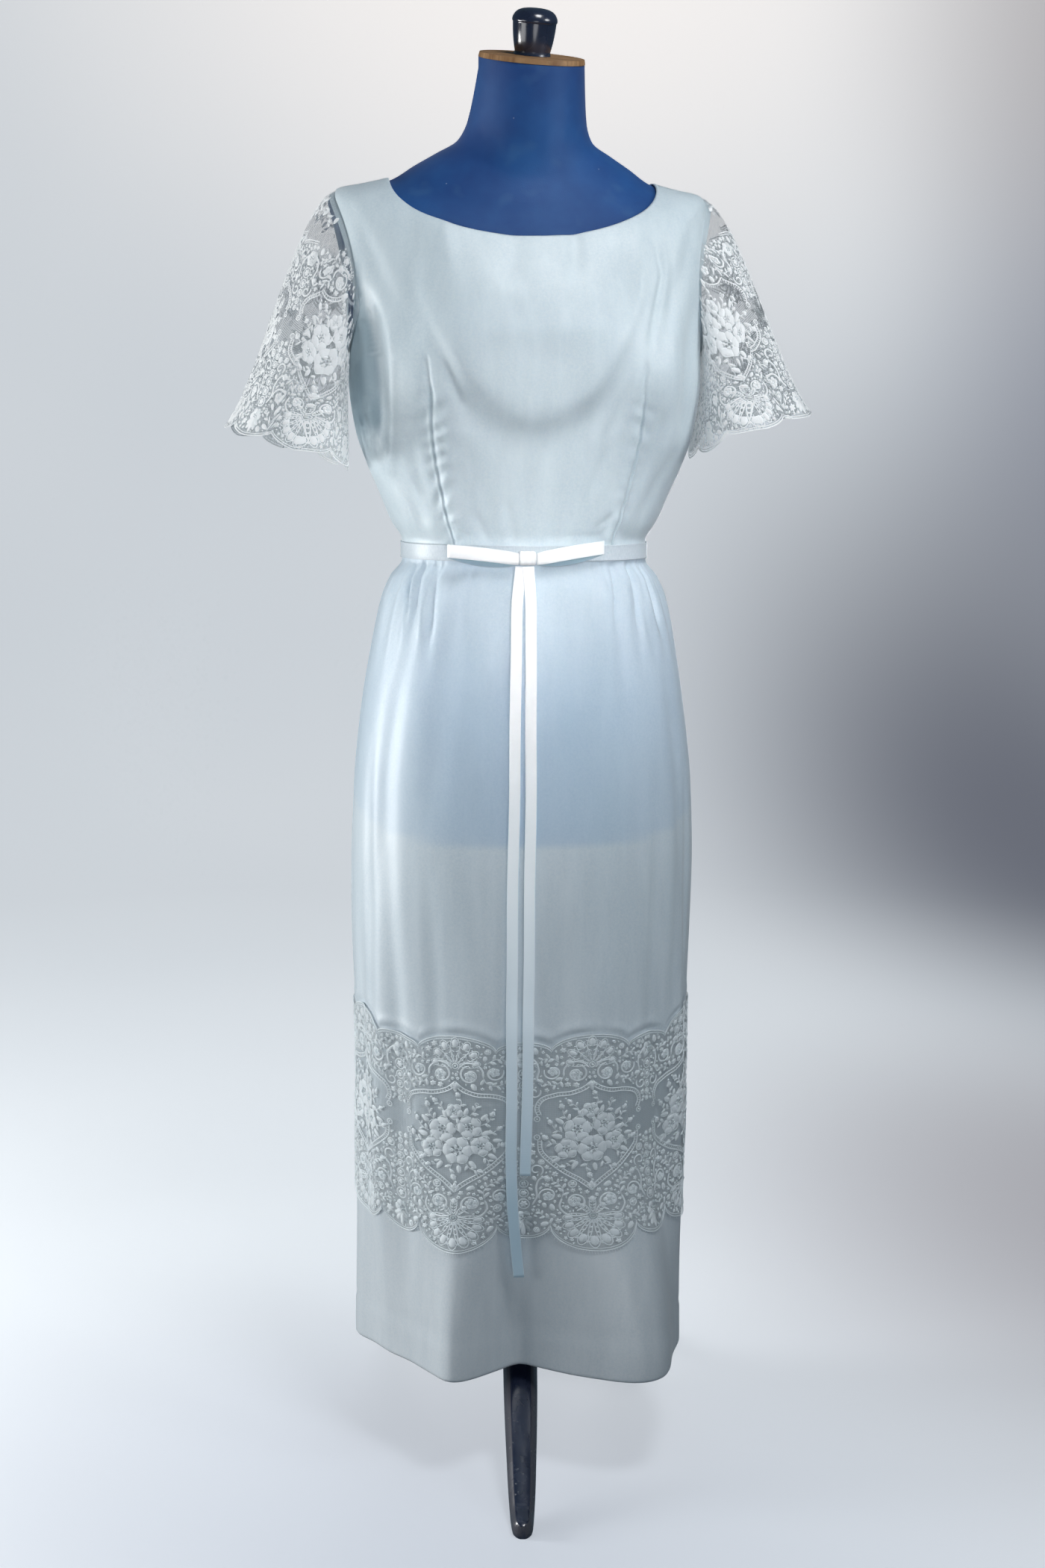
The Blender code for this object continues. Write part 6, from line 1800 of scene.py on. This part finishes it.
# Lights: name, place, what they face, size, power, colour and the angle of their beam
LIGHTS = [
    ("top_front", (0.4, -1.1, 2.8), (0.0, 0.0, 1.2), 0.7, 17.8, (0.98, 0.99, 1.0), 180.0),
    ("window_rim", (-2.2, 0.35, 0.75), (0.0, 0.0, 0.7), 0.8, 33.0, (1.0, 1.0, 0.99), 180.0),
    ("window", (-2.0, -0.7, 0.8), (0.0, 0.0, 0.7), 1.1, 9.5, (1.0, 1.0, 0.99), 180.0),
    ("chest", (1.7, -1.1, 1.9), (0.1, 0.0, 1.2), 0.8, 2.1, (0.97, 0.99, 1.0), 60.0),
    ("low_front", (0.0, -2.3, 0.45), (0.0, 0.0, 0.6), 1.0, 6.6, (1.0, 1.0, 1.0), 180.0),
    ("waist", (0.10, -2.30, 1.30), (0.02, 0.0, 0.945), 0.3, 0.15, (1.0, 1.0, 1.0), 13.0),
    ("back_fill", (0.5, 2.5, 0.75), (0.0, 0.0, 0.85), 1.0, 3.4, (1.0, 1.0, 1.0), 50.0),
]


def add_light(name, place, aim, size, power, colour, beam):
    data = bpy.data.lights.new(name, "AREA")
    data.shape, data.size, data.energy, data.color = "DISK", size, power, colour
    data.spread = math.radians(beam)
    light = bpy.data.objects.new(name, data)
    light.location = place
    light.rotation_euler = (Vector(aim) - Vector(place)).to_track_quat("-Z", "Y").to_euler()
    light.visible_camera = False
    bpy.context.scene.collection.objects.link(light)


# Soft patches of painted light and shade on the room: middle, reach, colour and strength. They stay in place
# in the room.
PATCHES = [
    ((0.7, 5.1, 2.9), (2.8, 3.0, 2.2), (0.98, 0.92, 0.88), 0.9),
    ((2.6, 4.6, 2.4), (1.3, 2.0, 1.7), (0.40, 0.37, 0.37), 0.8),
    ((2.5, 4.4, 0.9), (1.15, 2.2, 1.8), (0.20, 0.21, 0.26), 0.8),
    ((1.75, 3.0, 0.2), (1.35, 3.4, 2.0), (0.09, 0.095, 0.125), 0.9),
    ((1.0, 0.5, 0.0), (1.1, 1.5, 0.6), (0.30, 0.29, 0.31), 0.85),
    ((-0.3, -0.1, 0.0), (0.9, 0.9, 0.6), (0.30, 0.32, 0.37), 0.45),
    ((0.1, -0.5, 0.0), (1.0, 1.0, 0.6), (0.30, 0.33, 0.38), 0.5),
]


def room_paint(name):
    """Pale paper, shaded in soft patches as if the light fell off over it."""
    nodes = Nodes(name, Roughness=0.95, Specular_IOR_Level=0.05)
    where = nodes.place()
    uneven = nodes.ramp(nodes.noise(where, 0.5, 2.0), 0.3, 0.7)
    colour = nodes.mix(uneven, (0.60, 0.63, 0.66), (0.64, 0.665, 0.69))
    for middle, reach, tint, strength in PATCHES:
        move, scale = tuple(-m / r for m, r in zip(middle, reach)), tuple(1 / r for r in reach)
        moved = nodes.add("Mapping", {"Vector": where, "Location": move, "Scale": scale}).outputs[0]
        far = nodes.add("VectorMath", {0: moved}, operation="LENGTH").outputs["Value"]
        share = nodes.add("MapRange", {"Value": far, "From Min": 1.0, "From Max": 0.0, "To Max": strength},
                          interpolation_type="SMOOTHERSTEP").outputs[0]
        colour = nodes.mix(share, colour, tint)
    nodes.wire("Base Color", colour)
    # Painted light: the floor and backdrop glow with their painted colour.
    nodes.glow(colour, 0.85)
    return nodes.material


FLOOR_REACH, BEND, ROOM_RADIUS, ROOM_STEPS = 3.0, 2.2, 5.2, 128


def make_room():
    floor = [(0.001, 0.0), (0.5, 0.0), (1.0, 0.0), (2.0, 0.0), (FLOOR_REACH, 0.0)]
    cove = [(FLOOR_REACH + BEND * math.sin(a), BEND - BEND * math.cos(a))
            for a in np.linspace(0.05, math.pi / 2, 24)]
    wall = [(ROOM_RADIUS, height) for height in (2.6, 3.4, 4.4, 5.6, 7.0, 9.0)]
    turns = np.arange(ROOM_STEPS) * 2 * math.pi / ROOM_STEPS
    for name, part in (("floor", floor), ("backdrop", floor[-1:] + cove + wall)):
        points = [[(r * math.cos(t), r * math.sin(t), h) for t in turns] for r, h in part]
        faces = grid_faces(len(part), ROOM_STEPS, closed=True)[:, ::-1].tolist()
        if name == "floor":
            faces.append(list(range(ROOM_STEPS)))
        mesh = make_mesh(name, points, faces, angle=None)
        obj = bpy.data.objects.new(name, mesh)
        bpy.context.scene.collection.objects.link(obj)
        mesh.materials.append(room_paint(name))
        obj.visible_diffuse = obj.visible_glossy = False
        if name == "backdrop":
            obj.visible_shadow = False


def make_world():
    world = bpy.data.worlds.new("studio")
    world.use_nodes = True
    shade = world.node_tree.nodes["Background"]
    shade.inputs["Color"].default_value = (0.50, 0.76, 1.0, 1.0)
    shade.inputs["Strength"].default_value = 0.09
    bpy.context.scene.world = world


def declare_cloth(panels, belt, loops, tails, knot, band, band_work, sleeves):
    """Takes the cloth pieces and does nothing with them."""
    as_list(band_work)
    for ground, work, binding in sleeves:
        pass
    for loop in loops:
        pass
    for tail, length in zip(tails, (0.74, 0.63)):
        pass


def make_form_and_stand():
    gloss = lacquer("black_gloss", False)
    make_torso(form_cloth("blue_jersey"))
    base = Vector((NECK_MIDDLE[0] + POLE[0], NECK_MIDDLE[1] + POLE[1], neck_plane(*NECK_MIDDLE)))
    make_finial(gloss, base)
    leg_gloss = lacquer("black_gloss_legs", True)
    for name, turn in LEG_TURNS.items():
        make_leg(name, turn, leg_gloss)
    for name, paint in (("form_neck_cap", wood("turned_wood")), ("stand_hub", gloss), ("stand_pole", gloss)):
        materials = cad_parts[name].data.materials
        materials.clear()
        materials.append(paint)


def make_ribbons():
    """The belt, the two loops, the two tails and the knot."""
    dark, pale = (0.93, 0.95, 0.96), (0.98, 0.985, 0.99)
    # Painted light: the bow glows a little and the tails more.
    bow_paint = ribbon("satin_ribbon", dark, pale, 0.07)
    tail_paint = ribbon("satin_ribbon_tails", dark, pale, 0.13)
    belt = make_belt(ribbon("satin_ribbon_belt", (0.60, 0.68, 0.74), (0.68, 0.75, 0.80)))
    loops = [make_loop(side, bow_paint) for side in SIDES]
    tails = [make_tail("bow_tail_long", LONG_TAIL, 0.0, tail_paint),
             make_tail("bow_tail_short", SHORT_TAIL, 0.0016, tail_paint)]
    return belt, loops, tails, make_knot(bow_paint)


def make_lace(binding_paint):
    """The lace band with its raised work, and for each sleeve its net, its work and its armhole binding."""
    # Painted shade: the nets and their close cloth-work are painted grey, far darker than the lace threads,
    # standing for the shadow in and behind the net.
    net_paint = net("lace_net", (0.56, 0.62, 0.645), (0.60, 0.655, 0.68), 0.115, 0.24)
    sleeve_net = net("lace_net_sleeve", (0.36, 0.40, 0.42), (0.54, 0.58, 0.60), 0.070, 0.22)
    thread_paint = lace_thread("lace_thread", (0.87, 0.945, 0.98))
    # Painted light: the sleeves' threads glow a little, as if lit from behind.
    sleeve_thread = lace_thread("lace_thread_sleeve", (0.95, 0.98, 0.99), 0.13)
    points, faces = lace_repeat()
    band, band_work = make_lace_band(net_paint, thread_paint, points, faces)
    paints = sleeve_net, sleeve_thread, binding_paint
    sleeves = [make_sleeve(side, *paints, points, faces) for side in SIDES]
    return band, band_work, sleeves


def main():
    make_camera()
    satin_top = satin("ivory_satin_bodice", (0.725, 0.82, 0.865))
    satin_skirt = satin("ivory_satin_skirt", (0.70, 0.785, 0.84), form_shows=True)
    panels = make_panels(satin_top, satin_skirt)
    make_form_and_stand()
    ribbons = make_ribbons()
    declare_cloth(panels, *ribbons, *make_lace(satin_top))
    make_room()
    make_world()
    for light in LIGHTS:
        add_light(*light)
    bpy.context.scene.view_settings.view_transform = "Standard"


main()
